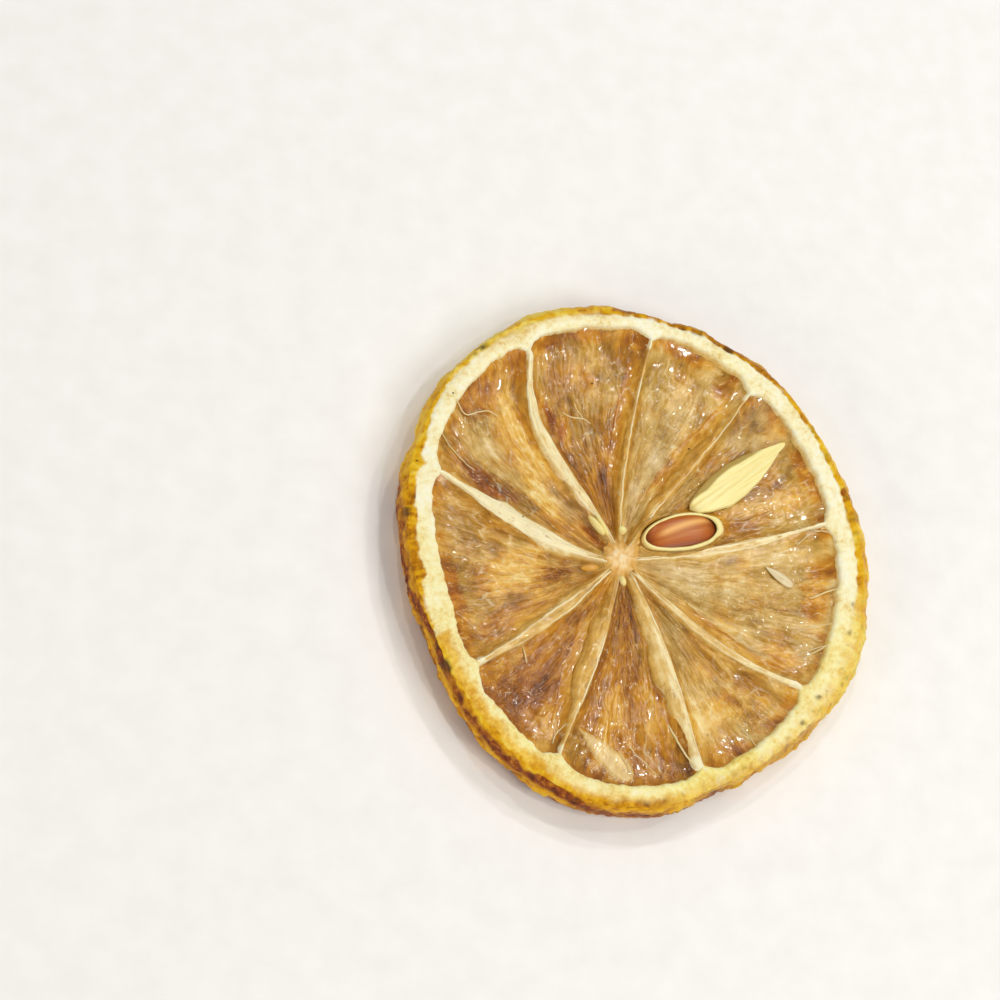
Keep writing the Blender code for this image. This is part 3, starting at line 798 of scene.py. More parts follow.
# What each kind of stain adds to the film, the golden kind being painted light: light, warmth, rust, mauve
STAIN_KINDS = {
    # painted light: golden where light shines through the film from behind
    "painted_golden_light": (0.3, 1.0, 0.0, 0.0),
    "amber": (-0.06, 1.0, 0.12, 0.0),
    "rust": (-0.12, 0.6, 0.85, 0.0),
    "brown": (-0.18, 0.7, 0.15, 0.0),
    "mauve": (0.02, -0.4, 0.0, 0.45),
    "pale": (0.22, -0.3, 0.0, 0.2),
}
# Each stain's x and y, half length, half width, direction and strength
STAINS = {
    # painted light: golden patches where light shines through the film from behind
    "painted_golden_light": (
        (-8.9, 11.0, 6.0, 1.4, 112, 1.0), (-7.0, 5.6, 2.8, 1.2, 125, 0.9),
        (-10.2, -1.5, 4.0, 2.3, 20, 0.9), (-8.9, -5.2, 3.0, 1.2, 40, 0.5),
        (8.2, -14.6, 3.0, 2.2, 20, 0.9), (-1.6, -16.0, 3.6, 2.0, 80, 0.7),
        (2.4, -14.4, 3.4, 1.4, 100, 0.7), (10.9, -6.2, 4.0, 0.7, 148, 0.5),
        (17.0, 6.6, 3.5, 1.0, 15, 0.5),
    ),
    "amber": (
        (-12.9, 15.3, 2.6, 1.8, 35, 0.8), (-8.6, 18.4, 2.6, 0.8, 115, 1.0),
        (-7.0, 9.9, 4.0, 0.6, 118, 0.8), (-6.0, 21.6, 1.7, 0.8, 15, 1.0), (-1.9, 22.7, 2.0, 0.7, 0, 0.9),
        (2.9, 22.7, 1.3, 0.6, 175, 1.0), (8.8, 21.3, 3.2, 0.6, 160, 0.9), (12.0, 18.1, 2.0, 1.2, 60, 0.9),
        (12.4, 4.3, 2.4, 0.6, 13, 1.0), (19.8, 10.2, 3.4, 0.8, 115, 0.8), (20.1, -2.2, 3.4, 1.3, 85, 0.9),
        (19.2, -3.6, 1.8, 1.0, 85, 0.9), (16.8, -9.5, 3.2, 1.6, 150, 0.8),
        (16.2, -12.9, 2.2, 0.9, 60, 0.9), (9.8, -18.2, 2.6, 0.7, 20, 0.8),
        (-2.2, -9.0, 4.5, 0.7, 75, 0.7), (3.0, -17.8, 2.4, 0.9, 105, 0.8),
        (-16.2, -5.2, 3.4, 1.4, 105, 0.7), (-12.0, -6.6, 4.2, 0.9, 30, 0.8),
        (-9.2, -13.6, 4.2, 1.6, 50, 0.9),
    ),
    "rust": (
        (-9.0, -11.5, 3.8, 2.4, 50, 0.2), (-6.0, 14.2, 1.9, 0.5, 118, 1.0),
        (-4.8, 12.8, 1.3, 0.5, 75, 0.9), (-2.4, 2.2, 1.9, 0.45, 135, 1.0),
        (-16.3, -3.4, 2.8, 0.9, 100, 0.6), (-14.0, 8.2, 1.8, 0.6, 150, 0.5),
        (-12.2, 6.2, 2.2, 0.9, 152, 0.9),
    ),
    "brown": (
        (-11.2, 6.5, 2.6, 1.1, 155, 0.9), (-1.0, 8.4, 2.3, 0.5, 95, 0.9),
        (-12.2, -13.0, 2.8, 1.8, 50, 0.6), (-9.8, -12.2, 3.4, 2.0, 55, 0.3),
        (0.4, -5.0, 2.8, 0.6, 92, 0.8), (-6.4, -1.4, 2.2, 1.0, 10, 0.7), (9.8, -18.0, 1.8, 0.9, 15, 0.4),
        (2.6, -19.3, 1.6, 0.7, 15, 0.5), (-16.6, -8.2, 1.8, 1.0, 100, 0.4),
        (19.0, -1.4, 1.4, 0.5, 160, 0.7), (-4.3, 4.6, 2.4, 1.2, 128, 0.4),
    ),
    "mauve": (
        (-4.6, 5.6, 3.4, 1.4, 128, 0.9), (5.3, 11.8, 4.4, 1.2, 66, 0.6), (1.9, 6.9, 1.8, 0.7, 72, 1.0),
        (6.6, 7.4, 4.4, 0.9, 50, 0.7), (15.6, 16.0, 2.6, 1.6, 45, 0.8), (11.0, -8.0, 6.0, 1.4, 145, 0.7),
        (6.0, -0.6, 3.4, 0.9, 172, 0.6), (-15.8, 2.6, 4.2, 2.4, 100, 0.4),
    ),
    "pale": (
        (4.6, 10.6, 2.2, 0.7, 66, 0.8), (14.2, 12.9, 2.0, 0.9, 20, 0.8), (9.8, -2.6, 3.4, 0.9, 168, 0.8),
        (-12.0, 10.5, 1.7, 1.0, 140, 0.9), (2.6, -19.4, 1.5, 1.1, 10, 0.7),
    ),
}
# Places where the film has crumpled finely and glints: x and y, and how far that reaches along each
COCKLED = (
    (-11.2, 6.5, 3.0, 1.8), (-6.2, -2.6, 3.4, 2.2), (-16.0, -3.0, 2.4, 3.0), (5.3, 11.6, 2.0, 4.0),
    (9.8, -3.0, 6.0, 2.0), (7.6, 8.0, 4.0, 1.6), (-12.0, -11.5, 3.0, 3.0), (-5.4, 14.0, 1.2, 2.0),
    (11.4, -14.2, 2.0, 1.6), (-1.6, 2.0, 1.4, 1.4), (0.4, -6.0, 0.9, 3.0), (19.0, -1.6, 1.6, 1.2),
    (-13.4, 13.6, 1.8, 2.0), (-4.2, -5.6, 2.2, 2.2), (14.8, 14.0, 2.0, 2.0),
)


def long_spot(x, y, ragged, spot_x, spot_y, half_length, half_width, direction):
    """1 in the middle of a long spot and 0 outside it, with an edge as ragged as it is given."""
    along, across = on_line(x, y, (spot_x, spot_y), direction)
    return 1 - step(np.hypot(along / half_length, across / half_width) + ragged, 0.3, 1.35)


PIP_DIRECTION, PIP_LENGTH = heading(PIP_BLUNT_END, PIP_TIP)


def pip_place(x, y):
    """How far a point lies along the pale seed, as a share, and across it to the left."""
    along, across = on_line(x, y, PIP_BLUNT_END, PIP_DIRECTION)
    return along / PIP_LENGTH, across


# Half widths of the pale seed left and right of its axis, at shares of its length
PIP_SHARES = (0.0, 0.03, 0.13, 0.3, 0.46, 0.63, 0.78, 0.9, 0.97, 1.0)
PIP_LEFT = (0.0, 0.5, 1.0, 1.48, 1.6, 1.4, 0.92, 0.44, 0.26, 0.1)
PIP_RIGHT = (0.0, 0.7, 1.35, 2.04, 1.98, 1.62, 1.04, 0.44, 0.26, 0.1)
PIP_DEPTHS = (0.0, 0.5, 0.8, 1.05, 1.05, 0.92, 0.68, 0.42, 0.26, 0.0)


def eased(share, shares, values):
    """A smooth line through given values."""
    fine = np.linspace(0, 1, 401)
    line = np.interp(fine, shares, values)
    for _ in range(25):
        line[1:-1] = (line[:-2] + 2 * line[1:-1] + line[2:]) / 4
    return np.interp(share, fine, line)


def pip_middle_z(share):
    """The height of the pale seed's axis, which rises to its tip."""
    return PIP_MIDDLE_Z + PIP_TIP_RISE * (share - 0.4)


def kernel_reach(x, y):
    """How far out from the kernel's middle a point is: 1 on the husk round it."""
    along, across = on_line(x, y, KERNEL_MIDDLE, KERNEL_AXIS)
    return np.hypot(along / (KERNEL_LENGTH / 2 + SEED_GAP), across / (KERNEL_WIDTH / 2 + SEED_GAP))


def seed_beds(x, y, height):
    """Presses the film down under the two seeds, so that each lies in a bed of its own shape."""
    share, across = pip_place(x, y)
    inside = np.clip(share, 0.004, 0.996)
    left, right = eased(inside, PIP_SHARES, PIP_LEFT), eased(inside, PIP_SHARES, PIP_RIGHT)
    reach = np.abs(across - (left - right) / 2) / ((left + right) / 2 + 0.02) + 24 * np.abs(share - inside)
    depth = eased(inside, PIP_SHARES, PIP_DEPTHS)
    bowl = pip_middle_z(inside) - depth * np.sqrt(np.clip(1 - reach**2, 0, 1)) - 0.05
    height = np.where(reach < 1.0, np.minimum(height, bowl), height)
    reach = kernel_reach(x, y)
    bowl = KERNEL_MIDDLE_Z - 0.2 - (KERNEL_DEPTH / 2 + 0.1) * np.sqrt(np.clip(1 - reach**2, 0, 1))
    return np.where(reach < 1.0, np.minimum(height, bowl), height)


def sunk_seed(x, y):
    """How far inside the outline of the seed sunk in the pulp a point is: 0 at its middle, 1 on it."""
    sharp, blunt, half = SUNK_SEED
    direction, length = heading(sharp, blunt)
    along, across = on_line(x, y, sharp, direction)
    along = along / length
    inside = np.clip(along, 0.01, 0.99)
    width = half * 1.9 * inside**0.85 * (1 - inside) ** 0.3
    return np.abs(across - 0.25 * half) / width + 20 * np.abs(along - inside)


def film_side(number, front, across, share, rim_width):
    """One side of a film: its points and the marks that its finish reads."""
    first, last = membrane_angle(number, share), membrane_angle(number + 1, share)
    turn = first * (1 - across) + last * across
    rim_turn = membrane_angle(number, 1.0) * (1 - across) + membrane_angle(number + 1, 1.0) * across
    edge = flesh_radius(rim_turn) - PITH_SLOPE
    radius = CORE_RADIUS + (edge - CORE_RADIUS) * share
    x, y = round_place(turn, radius)
    seed = 60 + 7 * number + (0 if front else 400)

    sideways = across * rim_width + 0.6 * rough(x / 2.6, y / 2.6, seed=seed) * (0.3 + share)
    lengthways = radius + 1.2 * rough(x / 4.0, y / 4.0, seed=seed + 1)
    wall_gap, sac = cells(sideways / SAC_WIDTH, lengthways / SAC_LENGTH, seed)
    wall = hump(wall_gap, 0, 0.06)
    inner = step(share, 0.05, 0.3) * (1 - step(share, 0.985, 1.0))
    cockled = 0.12
    for spot_x, spot_y, half_x, half_y in COCKLED:
        cockled = cockled + np.exp(-(((x - spot_x) / half_x) ** 2 + ((y - spot_y) / half_y) ** 2))
    cockled = np.clip(cockled, 0, 1)

    swells = rough(sideways / 1.3, lengthways / 2.8, seed=seed + 4)
    folds = creased(sideways / 0.95, lengthways / 2.4, seed=seed + 2)
    crumple = creased(sideways / 0.5, lengthways / 1.1, seed=seed + 3)
    relief = SAC_WALL * wall * inner + SWELL * swells
    relief = relief + FOLD * (folds - 0.35) * (0.3 + 0.5 * inner + 0.5 * cockled)
    relief = relief + CRUMPLE * cockled * (crumple - 0.35)
    relief = relief + WRINKLE * rough(sideways / 0.4, lengthways / 0.9, seed=seed + 5)

    light, warm = FILM_TONES[number]
    patches = rough(sideways / 1.5, lengthways / 3.4, seed=seed + 6)
    light = light + 0.26 * patches + 0.06 * (sac - 0.5) + 0.14 * (folds - 0.35) + 0.08 * swells
    warm = warm + 0.8 * rough(x / 2.6, y / 2.6, seed=seed + 6)
    rust, mauve = 0.0, 0.0
    ragged = 0.4 * rough(x / 1.1, y / 1.1, seed=41)
    for kind, spots in STAINS.items():
        amount = sum(strength * long_spot(x, y, ragged, *spot) for *spot, strength in spots)
        add_light, add_warm, add_rust, add_mauve = STAIN_KINDS[kind]
        light, warm = light + add_light * amount, warm + add_warm * amount
        rust, mauve = rust + add_rust * amount, mauve + add_mauve * amount
    from_rim = (1.0 - share) * (edge - CORE_RADIUS)
    # Darker, more amber patches along the pith's edge: partly the film's own amber, partly painted shade
    # under the pith's lip.
    at_rim = hump(from_rim, 0, 0.8) * step(rough(x / 1.3, y / 1.3, seed=44), -0.1, 0.4)
    light, warm, rust = light - 0.1 * at_rim, warm + 0.8 * at_rim, rust + 0.12 * at_rim
    light = light + 0.16 * hump(radius, 2.0, 0.9)

    level = film_height(x, y, across, share, front)
    clear = 1 - 0.75 * step(share, 0.86, 0.99)  # the film lies quiet where it meets the pith
    relief = relief * clear
    wall = wall * inner * step(rough(x / 2.2, y / 2.2, seed=45), -0.1, 0.5) * 0.6
    for ribbon, side, away in ((number, 1, across), (number + 1, 0, 1 - across)):
        away = away * np.radians(last - first) * radius
        body = ribbon_width(ribbon, side, np.clip(share, 0, 1), radius)
        fold_width, strength = RIBBONS[ribbon % len(MEMBRANES)][5 + side]
        lift = np.exp(-((away / (body + 0.4)) ** 2)) * clear
        along = strength * step(share, 0.15, 0.4) * (1 - step(share, 0.82, 0.93))
        fold = along * (1 - step(np.abs(away - body - fold_width / 2), 0.35 * fold_width, 0.6 * fold_width))
        shore = along * hump(away, body + fold_width, 0.13)
        level = level + (0.42 * lift - 0.1 * fold) * (1 if front else -1)
        relief = relief * (1 - 0.6 * fold) * (1 - 0.5 * lift)
        # The amber fold beside a membrane is the film's own amber, with painted shade that deepens away
        # from the membrane and in a dark line along the fold's outer edge.
        golden = 0.64 - 0.12 * step(away - body, 0.2 * fold_width, fold_width) + 0.2 * patches
        light = light * (1 - 0.75 * fold) + golden * 0.75 * fold - 0.08 * shore
        warm = warm * (1 - fold) + 1.1 * fold + 0.6 * shore
        rust, mauve = rust * (1 - 0.7 * fold), mauve * (1 - shore)
        mauve, cockled = mauve * (1 - fold), cockled * (1 - 0.7 * fold)
    if front:
        reach = sunk_seed(x, y)
        seed_top = 1 - step(reach, 0.78, 1.02)
        relief = relief * (1 - 0.5 * seed_top) + 0.18 * seed_top
        light = light * (1 - 0.8 * seed_top) + (0.76 + 0.1 * patches) * 0.8 * seed_top
        warm, mauve = warm * (1 - 0.7 * seed_top), mauve * (1 - seed_top)
        wall = np.maximum(wall, np.maximum(0.7 * hump(reach, 0.97, 0.09), 0.35 * seed_top))
        level = level + 0.5 * hump(kernel_reach(x, y), 1.1, 0.14) + 0.2 * hump(share, 0, 0.05)
    height = level + relief if front else level - relief
    height = seed_beds(x, y, height) if front else np.minimum(height, 2.0)

    marks = {"light": light, "warm": warm, "wall": wall, "cockled": cockled}
    marks |= {"rust": np.clip(rust, 0, 0.9), "mauve": np.clip(mauve, 0, 0.9)}
    marks["grain"] = stacked(sideways, lengthways, 3.7 * number)
    return stacked(x, y, height), marks


def two_sided(front, front_marks, back, back_marks):
    """Joins a flat body's two sides into rings that run out over one and back over the other."""
    marks = {}
    for key, value in front_marks.items():
        marks[key] = np.concatenate((value, back_marks[key][:, ::-1]), axis=1)
    return np.concatenate((front, back[:, ::-1]), axis=1), marks


def pulp_film(number, finish):
    """A segment's dried film, closed by its two sides. Its edges lie under the membranes and the pith."""
    rim_angle = membrane_angle(number + 1, 1.0) - membrane_angle(number, 1.0)
    rim_width = math.radians(rim_angle) * FACE_RADIUS * 0.93  # the rim less the pith
    columns = round(rim_width / FILM_COLUMN)
    rows = round((FACE_RADIUS - CORE_RADIUS) / FILM_ROW)
    share = np.linspace(FILM_START, TUCK, rows)[:, None]
    across = np.linspace(0, 1, columns)[None, :]
    front, front_marks = film_side(number, True, across, share, rim_width)
    back, back_marks = film_side(number, False, across, share, rim_width)
    back[..., 2] = np.minimum(back[..., 2], front[..., 2] - 0.35)
    make_piece(f"pulp_film_{number + 1}", [two_sided(front, front_marks, back, back_marks)], finish)


# ==================================================================================================
# Membranes
# ==================================================================================================
RIBBON_POINTS = 26  # over the ribbon's upper side
RIBBON_DROP = 0.68  # from its middle to its sunk edges
CREST_HEIGHT = 0.1
CREST_HALF = 0.1


def membrane(number):
    """A membrane as a flat tube along its line: a ribbon whose edges sink into the films."""
    _, crests, light, warm = RIBBONS[number][:4]
    at_rind = MEMBRANES[number][0]
    end = float(flesh_radius(np.array([at_rind]))[0]) - PITH_SLOPE
    radius = np.linspace(0.6, end + 1.2, round((FACE_RADIUS - 1) / MEMBRANE_ROW))
    share = np.clip((radius - CORE_RADIUS) / (end - CORE_RADIUS), 0.0001, 1)
    x, y = round_place(membrane_angle(number, share), radius)
    tangent = np.stack((np.gradient(x), np.gradient(y)), -1)
    tangent /= np.linalg.norm(tangent, axis=1)[:, None]
    sunk = 0.25 - 0.1 * step(share, 0.6, 0.95)
    body_cw, body_ccw = ((ribbon_width(number, side, share, radius) + sunk)[:, None] for side in (0, 1))
    shares = np.linspace(-1, 1, RIBBON_POINTS)[None, :]
    offset = np.where(shares > 0, shares * body_ccw, shares * body_cw)
    across_x = x[:, None] - tangent[:, 1:] * offset
    across_y = y[:, None] + tangent[:, :1] * offset

    share, radius = share[:, None], radius[:, None]
    taper = ribbon_taper(number, share)
    sway = 0.12 * rough(radius / 1.3, 0.0, seed=90 + number)
    bright = 0.0 * offset
    for crest in crests:
        line = hump(offset, crest * taper + sway, CREST_HALF) * step(radius, 1.0, 1.8)
        line = line * (0.75 + 0.5 * noise(radius / 2.2, crest * 9.0, seed=95 + number))
        bright = np.maximum(bright, line)
    rim = step(share, 0.9, 1.0)
    at_pith = step(share, 0.965, 1.0)
    out = np.abs(shares)
    folds = creased(offset / 0.45, radius / 3.0, seed=100 + number) - 0.35
    ripples = 0.07 * rough(across_x / 1.2, across_y / 1.2, seed=101)
    height = membrane_top(share) - 0.1 - RIBBON_DROP * out**2.4 * (1 - 0.2 * rim) + CREST_HEIGHT * bright
    height = height + (0.08 * folds + ripples) * (1 - rim) * (1 - out**4) + 0.14 * rim
    streaks = rough(offset / 0.5, radius / 2.2, seed=110 + number)
    away_from_core = 0.5 + 0.5 * step(share, 0.08, 0.4)
    light = 0.53 + (light - 0.53) * away_from_core + 0.2 * streaks + 0.1 * folds
    light = light * (1 - out**3) + 0.53 * out**3
    pale = np.clip((light - 0.64 + 0.5 * streaks) * 1.5, 0, 0.55) * (1 - out**2)
    wall = np.clip(np.maximum(bright, pale) + at_pith, 0, 1)
    marks = {"light": light + 0.3 * at_pith, "warm": warm + 0.4 * streaks, "wall": wall}
    marks |= {"rust": 0 * offset, "mauve": 0 * offset, "cockled": 0.1 + 0 * offset}
    marks["grain"] = stacked(offset, radius, 2.3 * number)
    front, back = (stacked(across_x, across_y, level) for level in (height, THICKNESS - height))
    return two_sided(front, marks, back, marks)


def membranes(finish):
    """All nine membranes, joined where they meet under the core."""
    make_piece("membranes", [membrane(number) for number in range(len(MEMBRANES))], finish)


# ==================================================================================================
# Core, seeds and husk
# ==================================================================================================
CORE_ARMS = ((36, 0.75, 14), (140, 0.25, 8))  # more of the core's points, at the husk and a nub
CORE_TOP = 3.9
CORE_UNDER = 0.6


def core(finish):
    """The peach-coloured middle, star-shaped where the membranes leave it."""
    angle = np.linspace(0, 360, 160, endpoint=False)[None, :]
    arms = 0.0
    for number in range(len(MEMBRANES)):
        arms = arms + 0.85 * hump(turned(angle, membrane_angle(number, 0.05)), 0, 10.0)
    for middle, far, half in CORE_ARMS:
        arms = arms + far * hump(turned(angle, middle), 0, half)
    ring_x, ring_y = round_place(angle, 1.0)
    reach = 1.62 + arms + 0.06 * rough(ring_x * 2, ring_y * 2, seed=120)
    down = np.linspace(0, math.pi, 56)[:, None]
    out = np.sin(down) ** 0.8
    radius = reach * out + 0.02
    x, y = round_place(angle, radius)
    gap, cell = cells(x / 0.8 + 0.2 * rough(x, y, seed=124) + 4.3, y / 1.0 + 7.6, 123)
    pad = step(gap, 0.0, 0.5) * (1 - step(radius, 0.7, 1.3))
    dome = CORE_TOP + 0.03 * pad + 0.07 * rough(x / 0.6, y / 0.6, seed=121)
    dome = dome - 0.48 * np.clip(radius / reach, 0, 1) ** 2.5
    under = CORE_UNDER + 0.09 * rough(x / 0.6, y / 0.6, seed=122) + 0.55 * step(out, 0.75, 1.0)
    share = step(np.cos(down), -0.12, 0.12)
    cream = 0.5 + 0.26 * pad + 0.12 * (cell - 0.5) - 0.16 * step(radius / reach, 0.45, 0.8)
    make_piece("core", [(stacked(x, y, dome * share + under * (1 - share)), {"cream": cream})], finish)


def pale_pip(finish):
    """The whole seed: blunt at one end, drawn out at the other, with a facet above its ridge."""
    share = 0.001 + 0.998 * seed_shares(150)
    turn = lap(72)[None, :]
    left, right, depth = (eased(share, PIP_SHARES, widths) for widths in (PIP_LEFT, PIP_RIGHT, PIP_DEPTHS))
    across = (left + right) / 2 * np.cos(turn) + (left - right) / 2
    ridge = left - 0.62 * (1 - step(share, 0.6, 0.9)) * step(share, 0.0, 0.2) + 0.03 * np.sin(share * 20)
    to_left = (left - across) / (left - ridge + 0.01)
    to_right = (right + across) / (right + ridge + 0.01)
    slope = np.clip(np.where(across > ridge, to_left, to_right**0.75), 0, 1)
    crown = (0.3 + 0.7 * slope) * np.minimum(1, np.abs(np.sin(turn)) * 2.5)
    lines = 0.035 * hump(across, -0.25, 0.12) + 0.03 * hump(across, -0.75, 0.1)
    lines = (lines - 0.03 * hump(across, 0.15, 0.1)) * (1 - step(share, 0.6, 0.8))
    above = np.sin(turn) > 0
    height = pip_middle_z(share) + depth * np.where(above, crown, np.sin(turn)) + np.where(above, lines, 0)
    x, y = off_line(PIP_LENGTH * share, across, PIP_BLUNT_END, PIP_DIRECTION)
    # Painted shade: the facet above the ridge and the underside are darkened.
    facet = step(across - ridge, -0.05, 0.12) * (1 - step(share, 0.66, 0.8)) * step(share, 0.04, 0.12)
    under = 0.8 * step(-np.sin(turn), -0.15, 0.4)
    stripes = 0.22 * (hump(across, -0.5, 0.13) + hump(across, 0.0, 0.1)) * (1 - step(share, 0.6, 0.8))
    shade = np.maximum(np.maximum(0.9 * facet, under), stripes + 0.25 * (1 - step(share, 0.0, 0.1)))
    marks = {"shade": shade, "painted_highlight": 0.0, "grain": stacked(across, PIP_LENGTH * share, 0.0)}
    make_piece("pale_pip_coat", [(stacked(x, y, height), marks)], finish, "pale_pip")


def brown_kernel(finish):
    """The kernel of the cut seed, polished, with an arched upper edge and a flatter lower one."""
    turn = lap(72)[None, :]
    u = -np.cos(np.linspace(0.02, math.pi - 0.02, 120))[:, None]
    full = (1 - np.abs(u) ** 2.5) ** 0.52
    side = np.sign(np.cos(turn)) * np.abs(np.cos(turn)) ** 0.8
    lift = np.sign(np.sin(turn)) * np.abs(np.sin(turn)) ** 0.32
    bow = 0.14 * (1 - u**2) - 0.06 - 0.16 * np.clip(-u, 0, 1) ** 2
    along = (KERNEL_LENGTH / 2 + 0.08) * u
    x, y = off_line(along, (KERNEL_WIDTH / 2 + 0.04) * full * side + bow, KERNEL_MIDDLE, KERNEL_AXIS)
    height = KERNEL_MIDDLE_Z + 0.08 + KERNEL_DEPTH / 2 * full * lift
    # Painted shade: darker on the flanks, where the kernel curves away from the light, and at its ends,
    # which are also a deeper red-brown of their own.
    edge = 0.5 * step(np.abs(side - 0.15), 0.7, 1.05) + 0.75 * step(np.abs(u), 0.62, 1.0)
    # Painted highlight: a pale streak that runs slantwise along the kernel's upper side.
    painted_highlight = 0.95 * hump(side, 0.3 + 0.4 * u, 0.22) + 0.2 * hump(side, -0.25 + 0.3 * u, 0.14)
    painted_highlight = painted_highlight * (1 - step(np.abs(u - 0.1), 0.45, 0.85)) * np.where(np.sin(turn) > 0, 1, 0)
    marks = {"shade": np.clip(edge + 0.1, 0, 0.95), "painted_highlight": painted_highlight}
    marks["grain"] = stacked(side * full * 1.5, along, 0.0)
    rings = stacked(x, y, height)
    make_piece("brown_kernel_skin", [(rings, marks)], finish, "brown_kernel")


HUSK_PROFILE = (  # distance out from the kernel, height
    (0.08, 2.3), (0.05, 2.9), (0.02, 3.4), (-0.04, 3.6), (-0.05, 3.74), (0.02, 3.83), (0.13, 3.82),
    (0.23, 3.7), (0.26, 3.5), (0.3, 3.2), (0.33, 2.8), (0.32, 2.3), (0.27, 2.1), (0.18, 2.05),
)


def husk(finish):
    """The cut seed's coat, opened round the kernel: a thin wall with a rolled cream edge."""
    turn = lap(240)[:, None]
    grow, level = (np.array(values)[None, :] for values in zip(*HUSK_PROFILE))
    thick = 1 + 1.3 * step(np.cos(turn), 0.8, 0.99) + 0.3 * step(-np.sin(turn), 0.2, 0.8)
    grow = grow * thick + 0.04 * rough(np.cos(turn) * 3, np.sin(turn) * 3, seed=150)
    grow = grow + 0.16 * hump(turn, math.radians(215), 0.5) - 0.1 * hump(turn, math.radians(160), 0.5)
    along, across = kernel_outline(turn, grow)
    x, y = off_line(along + 0.05, across + 0.04, KERNEL_MIDDLE, KERNEL_AXIS)
    height = level + 0.09 * rough(x / 1.2, y / 1.2, seed=151) * step(level, 2.6, 3.6)
    shade = 0.02 + 0.3 * (1 - step(level, 3.0, 3.6)) + 0.16 * rough(x / 1.3, y / 1.3, seed=152)
    marks = {"shade": np.clip(shade, 0, 1), "painted_highlight": 0.0, "grain": stacked(grow, turn * 4, 0.0)}
    make_piece("husk", [(stacked(x, y, height), marks)], finish, closed=True)


def small_seed(start, end, width, depth, level, shade, blunt=0.5, sharp=0.85):
    """A small seed or a scrap of one: blunt where it starts and drawn out where it ends."""
    direction, length = heading(start, end)
    share = 0.003 + 0.994 * seed_shares(48)
    turn = lap(28)[None, :]
    peak = blunt / (blunt + sharp)
    full = share**blunt * (1 - share) ** sharp / (peak**blunt * (1 - peak) ** sharp)
    across = width / 2 * full * np.cos(turn)
    x, y = off_line(length * share, across, start, direction)
    height = level + depth / 2 * full * np.sin(turn) + 0.04 * rough(x / 0.7, y / 0.7, seed=160)
    marks = {"shade": shade, "painted_highlight": 0.0, "grain": stacked(across, length * share, 0.0)}
    return stacked(x, y, height), marks


def unripe_seeds(finish):
    """Small seeds that never filled, standing round the core."""
    bodies = (
        small_seed((-1.5, 2.3), (-2.95, 4.1), 0.62, 0.9, 3.7, 0.1, 0.4, 0.5),
        small_seed((-1.15, 2.25), (-2.3, 4.2), 0.4, 0.8, 3.75, 0.0, 0.4, 0.5),
        small_seed((0.1, 2.5), (0.62, 3.15), 0.75, 0.8, 3.72, 0.3, 0.4, 0.4),
        small_seed((0.55, 2.75), (-0.05, 3.1), 0.55, 0.6, 3.9, 0.0, 0.4, 0.4),
        small_seed((-2.25, -0.95), (-4.0, -1.1), 0.72, 0.8, 3.6, 0.95, 0.5, 0.6),
        small_seed((-0.05, -1.6), (0.25, -2.6), 0.6, 0.8, 3.6, 0.15, 0.5, 0.5),
    )
    make_piece("unripe_seeds", bodies, finish)


def seed_scrap(finish):
    """A torn scrap of seed coat that lies on the film near the right rind."""
    scrap = small_seed((17.6, -1.5), (14.9, 0.35), 0.95, 0.4, 3.2, 0.1, 0.45, 0.9)
    make_piece("seed_scrap", [scrap], finish)


# Loose fibres and torn edges of skin: width, then places with their heights
STRANDS = (
    (0.2, (-15.6, 14.7, 4.1), (-14.6, 13.3, 3.5), (-13.2, 13.9, 3.4), (-12.2, 14.1, 3.4),
     (-11.2, 13.6, 3.2)),
    (0.16, (-17.6, 11.9, 4.1), (-16.4, 10.4, 3.6), (-15.2, 9.1, 3.4), (-13.8, 8.0, 3.2)),
    (0.2, (-4.8, 14.5, 3.2), (-3.8, 14.0, 3.5), (-2.9, 14.1, 3.5), (-2.0, 13.6, 3.2)),
    (0.14, (-2.9, 14.1, 3.4), (-3.6, 15.6, 3.3)),
    (0.24, (22.3, -1.5, 4.1), (20.6, -2.1, 3.6), (19.3, -2.6, 3.2)),
    (0.14, (21.2, -5.2, 4.1), (19.2, -5.5, 3.5), (17.5, -6.1, 3.2)),
    (0.2, (20.3, -7.4, 4.1), (19.0, -8.1, 3.6), (17.5, -9.0, 3.2)),
    (0.14, (20.9, -7.2, 4.1), (19.0, -7.7, 3.6), (17.3, -8.4, 3.2)),
    (0.16, (18.3, 2.7, 3.4), (20.1, 4.1, 3.7), (21.8, 4.1, 4.1)),
    (0.14, (18.5, 4.4, 3.8), (20.1, 4.2, 3.9), (21.8, 3.9, 4.1)),
    (0.3, (6.0, -19.9, 4.1), (5.2, -18.4, 3.7), (4.3, -16.5, 3.5), (3.8, -15.4, 3.1)),
    (0.14, (-0.3, -17.6, 3.2), (0.9, -19.0, 3.5), (2.4, -20.8, 4.0)),
    (0.12, (-1.2, -18.2, 3.3), (-0.5, -19.4, 3.5), (0.0, -20.8, 3.9)),
    (0.16, (10.9, -15.2, 3.2), (11.7, -16.4, 3.5), (12.4, -17.8, 4.1)),
    (0.12, (14.6, -11.8, 3.3), (15.3, -13.1, 3.4), (15.9, -14.4, 3.9)),
    (0.14, (9.0, -18.0, 3.4), (9.8, -18.4, 3.6), (10.6, -18.9, 4.0)),
    (0.12, (8.6, -18.3, 3.4), (9.5, -18.9, 3.6), (9.9, -19.6, 4.0)),
    (0.2, (-9.95, -8.8, 3.4), (-9.7, -9.6, 3.5), (-9.5, -10.4, 3.2)),
    (0.16, (-3.5, 7.0, 3.6), (-3.3, 6.0, 3.9), (-2.7, 5.0, 3.8)),
    (0.2, (-7.0, -19.9, 4.1), (-7.4, -18.9, 3.7), (-7.6, -17.9, 3.6), (-7.2, -17.0, 3.6),
     (-6.4, -16.2, 3.6)),
)


